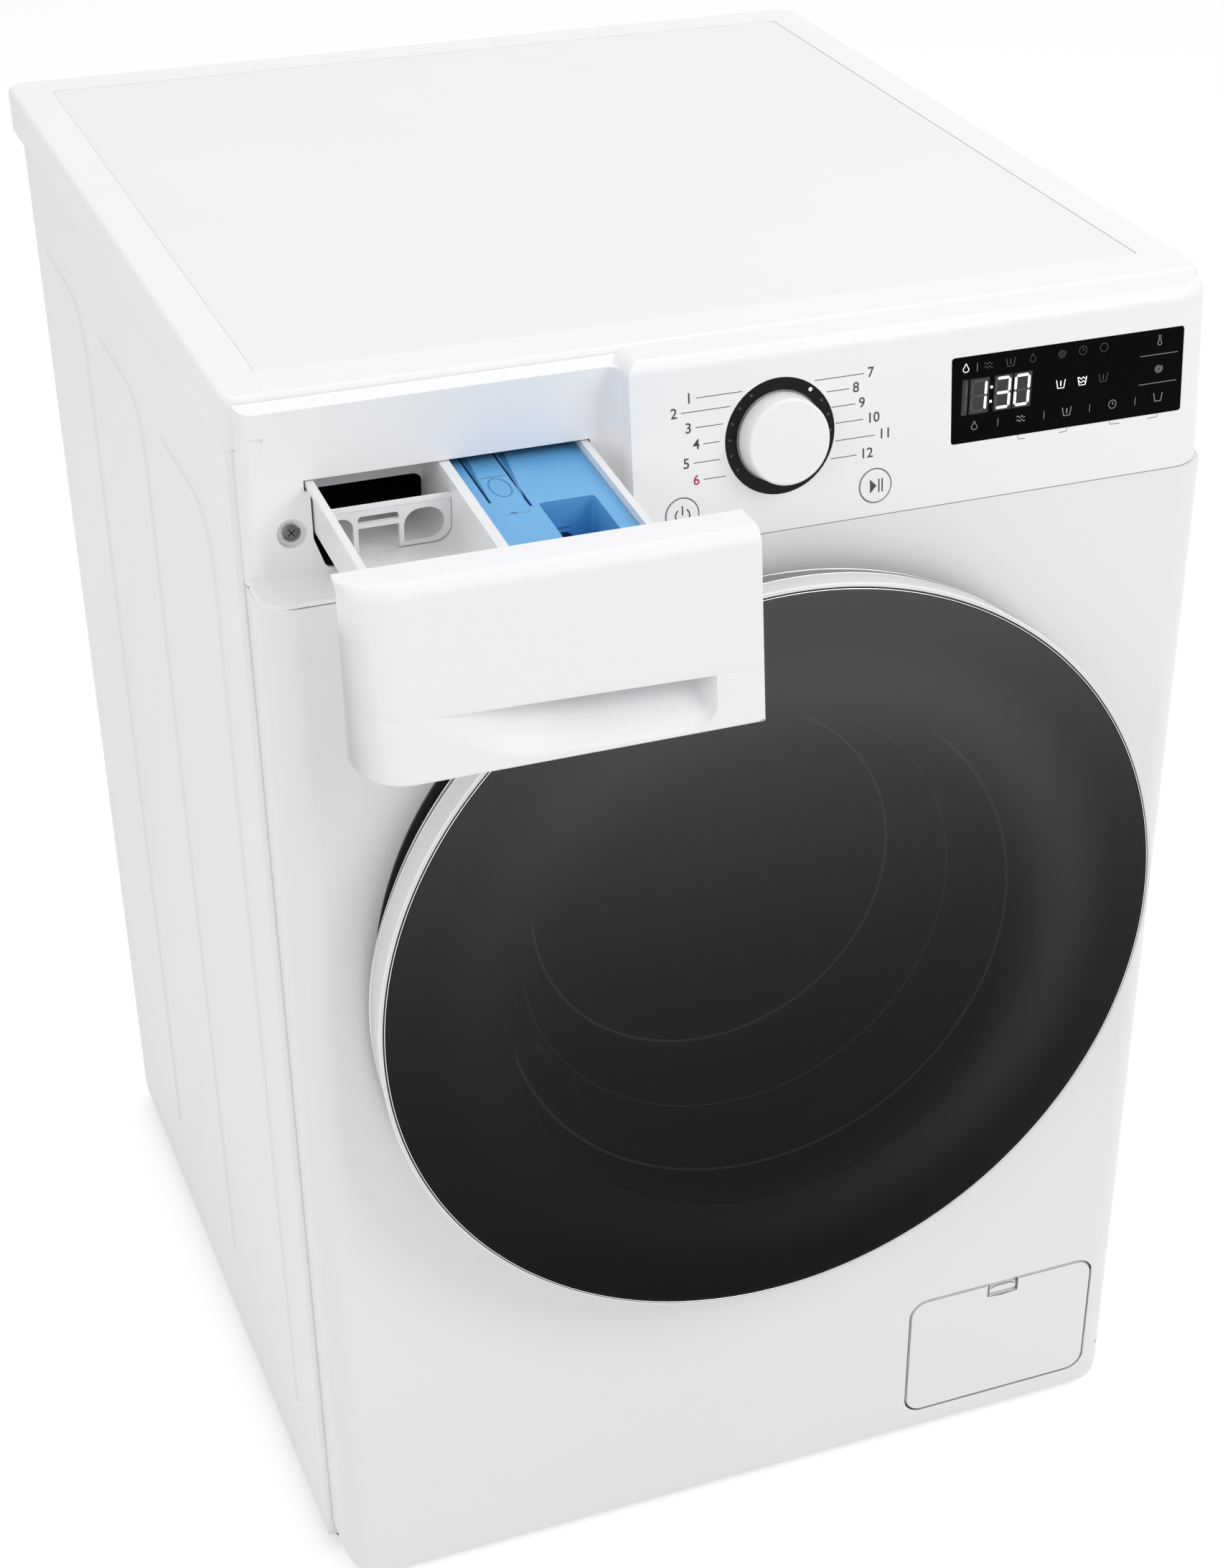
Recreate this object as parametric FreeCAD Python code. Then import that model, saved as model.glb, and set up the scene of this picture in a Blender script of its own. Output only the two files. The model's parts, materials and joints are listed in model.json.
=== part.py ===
"""Front load washing machine, as the separate pieces that it is put together from.

Millimetres, +Z up. While the pieces are modelled, y = 0 is the flat of the front panel, z = 0 is
the floor and x = 0 is the middle; save() then moves the whole machine so that the origin is on the
floor under the middle of its bounding box. The detergent drawer is pulled out and the door is shut.
"""
import math
import os

import FreeCAD, Part

V = FreeCAD.Vector
X_AXIS, Y_AXIS, Z_AXIS = V(1, 0, 0), V(0, 1, 0), V(0, 0, 1)

# Clearances
fit = 0.3             # beside a piece that moves, and between pieces that only meet
bearing_fit = 0.05    # radial play of a pin or shaft in its hole
sheet = 1.0           # steel sheet of the cabinet
shell = 2.5           # wall of the plastic mouldings

# Cabinet
width, height = 600.0, 850.0
lid_front, lid_rear, lid_height = 38.0, 663.6, 29.3
lid_inset = 1.4               # side panel inside the lid's edge
lid_rim_side, lid_rim_front, lid_rim_rear = 27.0, 34.0, 30.0
lid_corner, lid_edge = 12.0, 4.0
plate_thick, plate_sink = 11.6, 0.4
cabinet_front, cabinet_bottom, hose_room = 42.4, 12.0, 38.5
fold_width, fold_radius = 14.0, 4.0
rib_rise, rib_gap, rib_ahead, rib_behind = 1.2, 54.5, 62.6, 39.1
rib_low, rib_headroom, rib_bend, rib_count = 82.0, 93.0, 38.0, 3
front_inset, front_low, front_radius, front_corner, front_depth = 5.0, 6.0, 28.0, 22.0, 41.4
panel_face = 108.1            # the machine's top down to the joint over the front panel
pan_wall, pan_low, pan_high = 3.0, 13.3, 44.0
foot_inset, foot_front, foot_behind, foot_radius, foot_pad = 28.0, 62.0, 29.1, 21.0, 10.0
stud_radius, stud_top, nut_thick = 5.0, 38.0, 3.0
rail_deep, rail_drop = 20.0, 9.7

# Door and its mouth
door_drop, door_front = 275.6, -41.6
door_margin, ring_band = 7.7, 4.0
glass_thick, glass_gap = 3.8, 1.0
ring_taper, ring_back, ring_edge = 5.0, -4.0, 1.8
grip_back, grip_from, grip_to = -12.0, 67.0, 174.0
frame_step, frame_back = 4.7, -3.0
bowl_margin, bowl_rim, bowl_depth, bowl_thick = 79.3, 20.0, 92.0, 4.0
dish_inset, dish_floor, mouth_gap, mouth_back = 13.3, 7.0, 11.0, 34.0
hinge_inset, hinge_y, hinge_pin_radius, knuckle_radius = 15.3, -24.0, 3.0, 5.5
hinge_span, knuckle_tall, leaf_seat = 34.0, 14.0, -30.0
latch_inset, latch_half = 21.3, 8.0

# Control panel
panel_tilt = 5.8
panel_drop, panel_back, panel_edge = 1.0, 42.1, 8.0
split_x = -79.7               # the recess for the drawer is left of this
recess_y, recess_drop, recess_left = 30.0, 7.5, 10.0
ledge_rise, ledge_fall = 2.7, 3.8
knob_at, knob_radius, knob_high, ring_outer, ring_thick = (10.0, 55.8), 25.6, 14.5, 33.7, 2.3
button_radius, button_travel = 9.9, 1.2
power_at, start_at = (-51.0, 18.5), (69.3, 18.1)
window_low, window_high_s, window_margin, window_corner = (117.8, 35.1), 86.0, 29.1, 2.0
board_gap = 9.0               # circuit board behind the panel's face
screw_inset, screw_rise, screw_bore = 30.8, 30.5, 8.5

# Detergent drawer: its runners fall towards the front by drawer_slope
drawer_slope, drawer_travel, pivot_rise = 4.0, 194.5, 34.1
tray_inset, tray_beside_split, tray_rise, tray_tall = 40.5, 16.8, 7.6, 51.5
tray_wall, tray_floor, tray_back = 4.5, 2.5, 262.0
rim_wide, rim_tall, chine_in, chine_up = 3.4, 4.0, 13.5, 21.0   # tray's left side, under its rim
powder_floor, powder_fall, outlet_high = 15.0, 4.4, 20.0        # floor at the flap, its fall, rear gap
softener_wide, divider_thick = 77.0, 6.0
insert_drop, lane_from, lane_to, slot_wide = 5.0, 9.2, 27.7, 1.6
well_inset, well_right, well_near, well_far, well_deep = 33.0, 11.0, 90.0, 137.3, 24.5
drawer_gap_left, drawer_gap_right, drawer_gap_low, drawer_drop = 4.5, 2.3, 3.9, 1.4
front_round, rear_round, front_thick = 28.0, 7.0, 15.0
grip_in_left, grip_in_right, grip_rise, grip_tall, grip_deep = 37.5, 18.0, 18.1, 23.0, 13.0
housing_wall, housing_room, pipe_long = 2.0, 14.0, 12.0
flap_ahead, flap_drop, flap_clear, flap_thick, flap_pin = 56.0, 9.8, 1.0, 2.5, 1.6
arch_wide, post_wide, arch_right, arch_drop, bar_low, bar_tall = 23.2, 2.6, 3.8, 6.0, 14.2, 2.7
outlet_y, outlet_radius, outlet_bore = 150.0, 16.0, 13.0

# Filter cover and drain pump
cover_wide, cover_tall, cover_inset, cover_rise = 145.9, 103.2, 21.6, 20.0
cover_corner, cover_gap, cover_thick = 13.0, 1.2, 2.5
cover_pin_y, cover_pin_rise, cover_pin = 5.0, 16.0, 2.0
latch_wide, latch_tall, latch_along, latch_travel = 24.7, 12.4, 61.0, 2.0
pump_inset, pump_drop, pump_radius, pump_front, pump_back = 73.4, 51.2, 32.0, 24.0, 112.0
filter_radius, filter_long, impeller_radius = 27.0, 62.0, 22.0
sump_beside_pump, sump_y, sump_radius, sump_long = 140.0, 160.0, 20.0, 21.8

# Tub, drum and drive
tub_margin, tub_wall, tub_front_y, tub_joint, motor_room = 35.5, 4.0, 102.0, 258.0, 139.1
tub_flange, flange_thick, neck_gap, neck_front = 11.0, 8.0, 13.0, 76.0
drum_gap, drum_wall, drum_mouth_gap, drum_front_gap, drum_rear_gap = 17.5, 1.0, 5.0, 16.0, 28.0
lifter_high, lifter_wide, lifter_count = 46.0, 64.0, 3
shaft_radius, hub_radius, bearing_radius, hub_long = 15.0, 46.0, 31.0, 50.0
bearing_wide, spider_thick = 16.0, 18.0
stator_inner, stator_outer, stator_stand, stator_thick, pole_count = 62.0, 122.0, 22.0, 20.0, 24
magnet_gap, rotor_wall, rotor_stand = 10.0, 6.0, 7.0
spring_inset, spring_ahead, spring_behind, spring_rise = 42.0, 42.0, 56.0, 183.7
spring_radius, spring_wire, spring_turns = 9.0, 1.5, 18
damper_ahead, damper_behind, damper_inset, damper_low = 78.0, 66.0, 65.0, 44.0
damper_stand, damper_angle = 17.14, 44.75
damper_radius, damper_pin, ear_gap, ear_thick = 16.0, 4.0, 11.0, 4.0
weight_gap, weight_inset, weight_ahead, weight_span = 16.0, 6.5, 18.0, 140.0
heater_x, heater_inset, heater_behind, heater_tube = 18.0, 9.7, 72.0, 3.5

# Rear fittings
service_radius, cover_lap, cover_dome = 150.0, 15.0, 9.0
transport_inset, transport_down, transport_up, transport_radius = 85.0, 176.3, 183.7, 14.0
inlet_inset, inlet_drop, inlet_radius, inlet_long = 100.0, 80.0, 13.2, 22.9
spigot_inset, spigot_drop, spigot_radius, hose_radius, spigot_long = 38.0, 210.0, 9.0, 11.0, 24.9
gland_inset, gland_drop, gland_radius, gland_bore = 65.0, 85.0, 9.0, 4.0
collar_wide, collar_proud = 2.5, 1.0    # collar of the inlet and the spigot in the rear sheet
screw_radius, screw_head, screw_count = 1.9, 4.0, 8
rivet_depth = 8.0

# Places that follow from the sizes above: cabinet
cabinet_rear = lid_rear - hose_room
side_x = width / 2 - lid_inset
front_half = width / 2 - front_inset
foot_x, foot_rear = width / 2 - foot_inset, cabinet_rear - foot_behind
lid_low = height - lid_height
rail_low = lid_low - rail_drop
seam_z = height - panel_face
side_inner = side_x - sheet - fit
cabinet_inside = side_x - fold_radius - fit
rib_front, rib_high = cabinet_front + rib_ahead, height - rib_headroom
rib_room = cabinet_rear - rib_behind - rib_front
rib_width = (rib_room - (rib_count - 1) * rib_gap) / rib_count
rib_pitch = rib_width + rib_gap

# Door, from the ring inwards
door_z = seam_z - door_drop
ring_radius = front_half - front_radius - door_margin
glass_radius = ring_radius - ring_band
frame_radius = glass_radius - frame_step
dish_radius = ring_radius - dish_inset
bowl_flange = ring_radius - bowl_margin
bowl_mouth = bowl_flange - bowl_rim
mouth_radius = bowl_mouth + mouth_gap
hinge_x, latch_x = hinge_inset - ring_radius, ring_radius - latch_inset

# Control panel and drawer
panel_low, panel_top = seam_z + fit, height - panel_drop
recess_top = height - recess_drop
ledge_front, ledge_back = seam_z + ledge_rise, seam_z + ledge_rise + ledge_fall
window_high = (width / 2 - window_margin, window_high_s)
screw_at = (screw_inset - width / 2, seam_z + screw_rise)
slope_pivot = V(0, recess_y, seam_z + pivot_rise)
tray_left, tray_right = tray_inset - width / 2, split_x - tray_beside_split
tray_low, tray_high = seam_z + tray_rise, seam_z + tray_rise + tray_tall
divider_right = tray_right - tray_wall - softener_wide
divider_left = divider_right - divider_thick
front_left, front_right = drawer_gap_left - width / 2, split_x - drawer_gap_right
front_bottom, front_top = seam_z + drawer_gap_low, height - drawer_drop
grip_left, grip_right = front_left + grip_in_left, front_right - grip_in_right
grip_low_z, grip_high = seam_z + grip_rise, seam_z + grip_rise + grip_tall
housing_back = tray_back + housing_room
flap_y, flap_z = tray_back - flap_ahead, tray_high - flap_drop
powder_z = tray_low + powder_floor
flap_low = powder_z + flap_clear
insert_left, insert_right = divider_right + fit, tray_right - tray_wall - fit
insert_near, insert_top = recess_y + 6 + fit, tray_high - insert_drop
well_low = (insert_left + well_inset, insert_near + well_near)
well_high = (insert_right - well_right, insert_near + well_far)
outlet_x = divider_right
slope = math.radians(drawer_slope)
drawer_open = V(0, -math.cos(slope), -math.sin(slope)) * drawer_travel
lean = math.tan(math.radians(panel_tilt))

# Filter cover and pump
cover_high = (front_half - cover_inset, cover_rise + cover_tall)
cover_low = (cover_high[0] - cover_wide, cover_rise)
cover_hinge = (cover_pin_y, cover_rise + cover_pin_rise)
latch_low = (cover_low[0] + latch_along, cover_high[1] - latch_tall)
latch_high = (latch_low[0] + latch_wide, cover_high[1])
pump_x, pump_z = cover_high[0] - pump_inset, cover_high[1] - pump_drop

# Tub, drum and drive
tub_radius, tub_back = width / 2 - tub_margin, cabinet_rear - motor_room
neck_radius = mouth_radius + neck_gap
drum_radius, drum_mouth = tub_radius - drum_gap, mouth_radius + drum_mouth_gap
drum_front, drum_rear = tub_front_y + drum_front_gap, tub_back - drum_rear_gap
hub_back, stator_front = tub_back + hub_long, tub_back + stator_stand
rotor_radius, rotor_back = stator_outer + magnet_gap, hub_back + rotor_stand
spring_x, spring_lug = width / 2 - spring_inset, door_z + spring_rise
spring_rows = (tub_joint + spring_ahead, tub_back - spring_behind)
damper_rows = (tub_front_y + damper_ahead, tub_back - damper_behind)
damper_foot = (width / 2 - damper_inset, damper_low)
damper_reach, damper_turn = tub_radius + damper_stand, math.radians(damper_angle)
damper_head = (damper_reach * math.cos(damper_turn), door_z - damper_reach * math.sin(damper_turn))
weight_inner, weight_outer = neck_radius + weight_gap, tub_radius - weight_inset
weight_front = neck_front - weight_ahead
heater_radius, heater_front = tub_radius - heater_inset, tub_joint + heater_behind
sump_x, sump_low = pump_x - sump_beside_pump, door_z - tub_radius - sump_long

# Rear fittings
cover_radius = service_radius + cover_lap
transport_x = width / 2 - transport_inset
transport_z = (door_z - transport_down, door_z + transport_up)
inlet_at, inlet_end = (inlet_inset - width / 2, height - inlet_drop), cabinet_rear + inlet_long
spigot_at, spigot_end = (width / 2 - spigot_inset, height - spigot_drop), cabinet_rear + spigot_long
gland_at = (width / 2 - gland_inset, height - gland_drop)

row_y = (lid_rear - drawer_travel * math.cos(slope) + (front_bottom - seam_z) * lean) / 2


def face_y(z):
    """Where the leaning face of the control panel is at height z."""
    return (z - seam_z) * lean


# Shapes

def box(x0, x1, y0, y1, z0, z1):
    return Part.makeBox(x1 - x0, y1 - y0, z1 - z0, V(x0, y0, z0))


def rod(radius, start, end):
    start, end = V(*start), V(*end)
    return Part.makeCylinder(radius, (end - start).Length, start, end - start)


def fused(shapes):
    first, *rest = shapes
    return first.fuse(rest).removeSplitter() if rest else first


def outline(corners, place):
    """A face from corners (u, v, radius), each rounded by a tangent arc, set in space by place(u, v)."""
    stops = []
    for index, (u, v, *radius) in enumerate(corners):
        corner = V(u, v, 0)
        before, after = V(*corners[index - 1][:2], 0), V(*corners[(index + 1) % len(corners)][:2], 0)
        if not radius or radius[0] <= 0:
            stops.append((corner,))
            continue
        back, ahead = (before - corner), (after - corner)
        half = back.getAngle(ahead) / 2
        room = 0.49 * min(back.Length, ahead.Length) * math.tan(half)
        bend = min(radius[0], room)
        back.normalize(), ahead.normalize()
        reach = bend / math.tan(half)
        middle = (back + ahead).normalize() * (bend / math.sin(half) - bend)
        stops.append((corner + back * reach, corner + middle, corner + ahead * reach))
    edges = []
    for stop, following in zip(stops, stops[1:] + stops[:1]):
        if len(stop) == 3:
            edges.append(Part.Arc(*(place(p.x, p.y) for p in stop)).toShape())
        edges.append(Part.makeLine(place(stop[-1].x, stop[-1].y), place(following[0].x, following[0].y)))
    return Part.Face(Part.Wire(edges))


def plate_xz(corners, y0, y1):
    return outline(corners, lambda u, v: V(u, y0, v)).extrude(V(0, y1 - y0, 0))


def bar_yz(corners, x0, x1):
    return outline(corners, lambda u, v: V(x0, u, v)).extrude(V(x1 - x0, 0, 0))


def column_xy(corners, z0, z1):
    return outline(corners, lambda u, v: V(u, v, z0)).extrude(V(0, 0, z1 - z0))


def rectangle(low, high, radius=0.0, grow=0.0):
    (u0, v0), (u1, v1) = low, high
    u0, v0, u1, v1 = u0 - grow, v0 - grow, u1 + grow, v1 + grow
    return [(u0, v0, radius), (u1, v0, radius), (u1, v1, radius), (u0, v1, radius)]


def turned(corners, axis_x=0.0, axis_z=door_z, angle=360.0):
    """Corners (radius, y) turned about the line through (axis_x, axis_z) along Y."""
    face = outline(corners, lambda r, y: V(axis_x + r, y, axis_z))
    return face.revolve(V(axis_x, 0, axis_z), Y_AXIS, angle)


def spun(corners, x, y, z=0.0):
    """Corners (radius, height) turned about a vertical line at x, y."""
    return outline(corners, lambda r, h: V(x + r, y, z + h)).revolve(V(x, y, 0), Z_AXIS, 360)


def ribbon(path, thick):
    """The corners of a strip of even thickness whose middle follows path of (u, v, radius)."""
    sides = ([], [])
    for index, (u, v, *radius) in enumerate(path):
        here = V(u, v, 0)
        before = V(*path[index - 1][:2], 0) if index else None
        after = V(*path[index + 1][:2], 0) if index + 1 < len(path) else None
        inward = (here - before).normalize() if before else (after - here).normalize()
        onward = (after - here).normalize() if after else inward
        normal_in, normal_out = V(-inward.y, inward.x, 0), V(-onward.y, onward.x, 0)
        mitre = (normal_in + normal_out).normalize()
        reach = thick / 2 / mitre.dot(normal_in)
        bend = radius[0] if radius else 0
        turn = 1 if inward.cross(onward).z > 0 else -1
        for side, sign in zip(sides, (1, -1)):
            point = here + mitre * (reach * sign)
            side.append((point.x, point.y, max(bend - sign * turn * thick / 2, 0) if bend else 0))
    return sides[0] + sides[1][::-1]


def hose(points, radius, bore=0.0):
    """A tube of straight runs joined by tangent arcs, each as large as its two runs allow."""
    points = [V(*p) for p in points]
    edges, last = [], points[0]
    for before, corner, after in zip(points, points[1:], points[2:]):
        back, ahead = before - corner, after - corner
        reach = 0.45 * min(back.Length, ahead.Length)
        half = back.getAngle(ahead) / 2
        bend = reach * math.tan(half)
        back.normalize(), ahead.normalize()
        middle = corner + (back + ahead).normalize() * (bend / math.sin(half) - bend)
        edges.append(Part.makeLine(last, corner + back * reach))
        edges.append(Part.Arc(corner + back * reach, middle, corner + ahead * reach).toShape())
        last = corner + ahead * reach
    edges.append(Part.makeLine(last, points[-1]))
    path = Part.Wire(edges)

    def sweep(r):
        ring = Part.Wire(Part.makeCircle(r, points[0], points[1] - points[0]))
        return path.makePipeShell([ring], True, False)

    return sweep(radius).cut(sweep(bore)) if bore else sweep(radius)


def both_sides(shape):
    return [shape, shape.mirror(V(0, 0, 0), X_AXIS)]


def on_panel(shape, at=(0.0, 0.0)):
    """Move a shape from the panel's own axes (x, -y out of the face, z up the face) to the panel."""
    moved = shape.copy()
    moved.rotate(V(0, 0, 0), X_AXIS, -panel_tilt)
    tilt = math.radians(panel_tilt)
    moved.translate(V(at[0], at[1] * math.sin(tilt), seam_z + at[1] * math.cos(tilt)))
    return moved


def on_slope(shape):
    """Move a shape from the drawer's own axes, where it slides along Y, to its sloping runners."""
    moved = shape.copy()
    moved.rotate(slope_pivot, X_AXIS, drawer_slope)
    return moved


def edges_where(shape, test):
    return [edge for edge in shape.Edges if test(edge.BoundBox)]


def ears(x, z, along_y, half_wide, low, high):
    """Two lugs with a hole for a cross pin, one each side of the eye of a damper."""
    lugs = []
    for side in (-1, 1):
        near = along_y + side * ear_gap
        far = near + side * ear_thick
        lugs.append(box(x - half_wide, x + half_wide, min(near, far), max(near, far), low, high))
    hole = rod(damper_pin + bearing_fit, (x, along_y - 30, z), (x, along_y + 30, z))
    return [lug.cut(hole) for lug in lugs]


# Cabinet

def side_panel():
    """Right side panel: a sheet folded in at front and rear, with long raised panels."""
    front, rear, inner = cabinet_front, cabinet_rear, side_x - fold_width
    inside = fold_radius - sheet
    section = [(inner, front), (side_x, front, fold_radius), (side_x, rear, fold_radius), (inner, rear),
               (inner, rear - sheet), (side_x - sheet, rear - sheet, inside),
               (side_x - sheet, front + sheet, inside), (inner, front + sheet)]
    panel = column_xy(section, cabinet_bottom, lid_low - fit)
    flange = box(inner, side_x - sheet / 2, front + sheet / 2, rear - sheet / 2, cabinet_bottom,
                 cabinet_bottom + sheet)
    raised, hollows = [], []
    for number in range(rib_count):
        y0 = rib_front + number * rib_pitch
        y1 = y0 + rib_width

        def rib(inset, x0, x1):
            return bar_yz([(y0 + inset, rib_low + inset, 6), (y1 - inset, rib_low + inset, rib_bend),
                           (y1 - inset, rib_high - inset, 6), (y0 + inset, rib_high - inset, rib_bend)], x0, x1)

        face = rib(0, side_x - sheet / 2, side_x + rib_rise)
        rim = edges_where(face, lambda b: b.XMin > side_x + rib_rise - 0.01)
        raised.append(face.makeChamfer(rib_rise * 0.9, rim))
        hollows.append(rib(2 * sheet, side_x - 2 * sheet, side_x + rib_rise - sheet))
    return fused([panel, flange] + raised).cut(hollows)


def rear_panel():
    """Rear sheet between the side panels, with the service, transport and hose openings."""
    y1 = cabinet_rear - sheet
    panel = box(-cabinet_inside, cabinet_inside, y1 - sheet, y1, cabinet_bottom + sheet + fit, lid_low - fit)
    holes = [rod(service_radius, (0, y1 - 5, door_z), (0, y1 + 5, door_z)),
             through(inlet_at, inlet_radius + collar_wide + fit, y1),
             through(spigot_at, spigot_radius + collar_wide + fit, y1),
             through(gland_at, gland_radius + bearing_fit, y1)]
    for x, z in transport_places():
        holes.append(through((x, z), transport_radius, y1))
    return panel.cut(holes + screw_holes())


def through(at, radius, y):
    """A cutter for a round hole through a sheet at depth y."""
    return rod(radius, (at[0], y - 5, at[1]), (at[0], y + 5, at[1]))


def transport_places():
    return [(side * transport_x, z) for side in (-1, 1) for z in transport_z]


def cover_screw_places():
    ring = (cover_radius + service_radius) / 2
    turns = [2 * math.pi * (number + 0.5) / screw_count for number in range(screw_count)]
    return [(ring * math.cos(turn), door_z + ring * math.sin(turn)) for turn in turns]


def screw_holes():
    return [rod(screw_radius + bearing_fit, (x, cabinet_rear - 20, z), (x, cabinet_rear + 5, z))
            for x, z in cover_screw_places()]


def rear_cover():
    """Dished round cover over the motor."""
    flat, dome = cabinet_rear - sheet / 2, cabinet_rear + cover_dome
    path = [(cover_radius, flat), (service_radius - 4, flat, 6), (service_radius - 14, dome, 8), (0, dome)]
    return turned(ribbon(path, sheet)).cut(screw_holes())


def cover_screws():
    """Cross-head screws that hold the rear cover."""
    screws = []
    for x, z in cover_screw_places():
        shank = rod(screw_radius, (x, cabinet_rear - rivet_depth, z), (x, cabinet_rear + 1, z))
        head = turned([(0, cabinet_rear), (screw_head, cabinet_rear), (screw_head, cabinet_rear + 1.6, 1.2),
                       (0, cabinet_rear + 2.4)], x, z)
        slots = [box(x - 2, x + 2, cabinet_rear + 1.2, cabinet_rear + 3, z - 0.4, z + 0.4),
                 box(x - 0.4, x + 0.4, cabinet_rear + 1.2, cabinet_rear + 3, z - 2, z + 2)]
        screws.append(fused([shank, head]).cut(slots))
    return Part.makeCompound(screws)


def transport_plugs():
    """Plastic plugs in the four transport bolt holes."""
    y0 = cabinet_rear - sheet
    section = [(0, y0), (transport_radius + 4, y0), (transport_radius + 4, y0 + 2.5, 1), (0, y0 + 2.5)]
    plugs = []
    for x, z in transport_places():
        barrel = turned([(transport_radius - 3, y0 - 10), (transport_radius - bearing_fit, y0 - 10),
                         (transport_radius - bearing_fit, y0 + 1), (transport_radius - 3, y0 + 1)], x, z)
        plugs.append(fused([turned(section, x, z), barrel]))
    return Part.makeCompound(plugs)


def base_pan():
    """Moulded base with bosses for the feet, brackets for the dampers and a saddle for the pump."""
    y0, y1 = cabinet_front + sheet + fit, cabinet_rear - 2 * sheet - fit
    x1 = cabinet_inside
    pan = box(-x1, x1, y0, y1, pan_low, pan_high)
    pan = pan.cut(box(-x1 + pan_wall, x1 - pan_wall, y0 + pan_wall, y1 - pan_wall, pan_low + pan_wall,
                      pan_high + 1))
    floor = pan_low + pan_wall / 2
    bosses = [rod(17, (x, y, floor), (x, y, stud_top)) for x, y in foot_places()]
    lugs = []
    for row in damper_rows:
        for side in (-1, 1):
            lugs += ears(side * damper_foot[0], damper_foot[1], row, 11, floor, damper_foot[1] + 9)
    saddle = box(pump_x - 22, pump_x + 22, pump_front + 36, pump_back - 12, floor, pump_z)
    sills = [box(-x1 + 1, x1 - 1, y - 4, y + 4, floor, pan_low + 12) for y in (tub_joint + 2, tub_joint + 82)]
    pan = fused([pan, saddle] + bosses + lugs + sills)
    holes = [rod(stud_radius + bearing_fit, (x, y, 0), (x, y, stud_top + 10)) for x, y in foot_places()]
    holes.append(rod(pump_radius + fit, (pump_x, 0, pump_z), (pump_x, pump_back + 60, pump_z)))
    return pan.cut(holes)


def foot_places():
    return [(side * foot_x, y) for side in (-1, 1) for y in (foot_front, foot_rear)]


def foot_pads():
    """Rubber pads of the four levelling feet."""
    section = [(0, 0), (foot_radius, 0, 1), (foot_radius, 4, 2), (foot_radius * 0.55, foot_pad, 2),
               (stud_radius + bearing_fit, foot_pad), (stud_radius + bearing_fit, foot_pad / 2),
               (0, foot_pad / 2)]
    return Part.makeCompound([spun(section, x, y) for x, y in foot_places()])


def foot_bolts():
    """Threaded studs of the feet, each with its lock nut under the base."""
    parts = []
    nut_low = pan_low - fit - nut_thick
    for x, y in foot_places():
        parts.append(rod(stud_radius, (x, y, foot_pad / 2), (x, y, stud_top)))
        hexagon = [(x + 9.8 * math.cos(math.radians(60 * n)), y + 9.8 * math.sin(math.radians(60 * n)))
                   for n in range(6)]
        nut = column_xy(hexagon, nut_low, nut_low + nut_thick)
        parts.append(nut.cut(rod(stud_radius + bearing_fit, (x, y, 0), (x, y, stud_top))))
    return Part.makeCompound(parts)


def front_blank(inset, top):
    """The front panel's outside as a solid: rounded up its sides and at its two lower corners."""
    half, low = front_half - inset, front_low + inset
    plan = [(-half, front_depth), (-half, inset, front_radius - inset), (half, inset, front_radius - inset),
            (half, front_depth)]
    face = [(-half, low, front_corner - inset), (half, low, front_corner - inset), (half, top), (-half, top)]
    return column_xy(plan, low, top).common(plate_xz(face, inset - 1, front_depth + 1))


def front_panel():
    """Folded front panel with the dished door mouth and the opening for the filter cover."""
    top = seam_z - fit
    panel = front_blank(0, top).cut(front_blank(sheet, top + 5))
    middle = sheet / 2
    path = [(dish_radius + 4, middle), (dish_radius, middle, 3), (dish_radius - 6, dish_floor + middle, 3),
            (mouth_radius + 7, dish_floor + middle, 5), (mouth_radius, dish_floor + 8, 4),
            (mouth_radius, mouth_back)]
    dish = turned(ribbon(path, sheet))
    panel = panel.cut(rod(dish_radius + 2, (0, -5, door_z), (0, 5, door_z)))
    y, z = cover_hinge
    lugs = [box(x0, x0 + 3, sheet / 2, y + 7, z - 8, z + 8) for x0 in cover_lug_places()]
    panel = fused([panel, dish] + lugs)
    opening = plate_xz(rectangle(cover_low, cover_high, cover_corner + cover_gap, cover_gap), -5, sheet)
    pin_hole = rod(cover_pin + bearing_fit, (cover_low[0] - 20, *cover_hinge), (cover_high[0] + 20, *cover_hinge))
    slot = box(latch_x - latch_half - 5, latch_x + latch_half + 5, 0, 12, door_z - 14, door_z + 14)
    return panel.cut([opening, pin_hole, slot] + bracket_holes())


def cover_lug_places():
    gap = cover_gap + 0.5
    return cover_low[0] - gap - 3, cover_high[0] + gap


def top_frame():
    """Moulded rim of the worktop, with a pocket for the plate and a hollow underside."""
    low, high = (-width / 2, lid_front), (width / 2, lid_rear)
    frame = column_xy(rectangle(low, high, lid_corner), lid_low, height)
    frame = frame.makeFillet(lid_edge, edges_where(frame, lambda b: b.ZMin > height - 0.01))
    pocket = column_xy(rectangle(*plate_corners(), 3), height - plate_thick - plate_sink, height + 1)
    shelf = column_xy(rectangle(*plate_corners(), 3, -11), lid_low - 1, height)
    hollow = column_xy(rectangle(low, high, lid_corner - shell, -shell), lid_low - 1,
                       height - plate_thick - plate_sink - shell)
    return frame.cut([pocket, shelf, hollow])


def plate_corners():
    return ((-width / 2 + lid_rim_side, lid_front + lid_rim_front),
            (width / 2 - lid_rim_side, lid_rear - lid_rim_rear))


def top_plate():
    """Worktop plate, let into its rim."""
    top = height - plate_sink
    plate = column_xy(rectangle(*plate_corners(), 3 - fit, -fit), top - plate_thick, top)
    return plate.makeFillet(0.8, edges_where(plate, lambda b: b.ZMin > top - 0.01))


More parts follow.
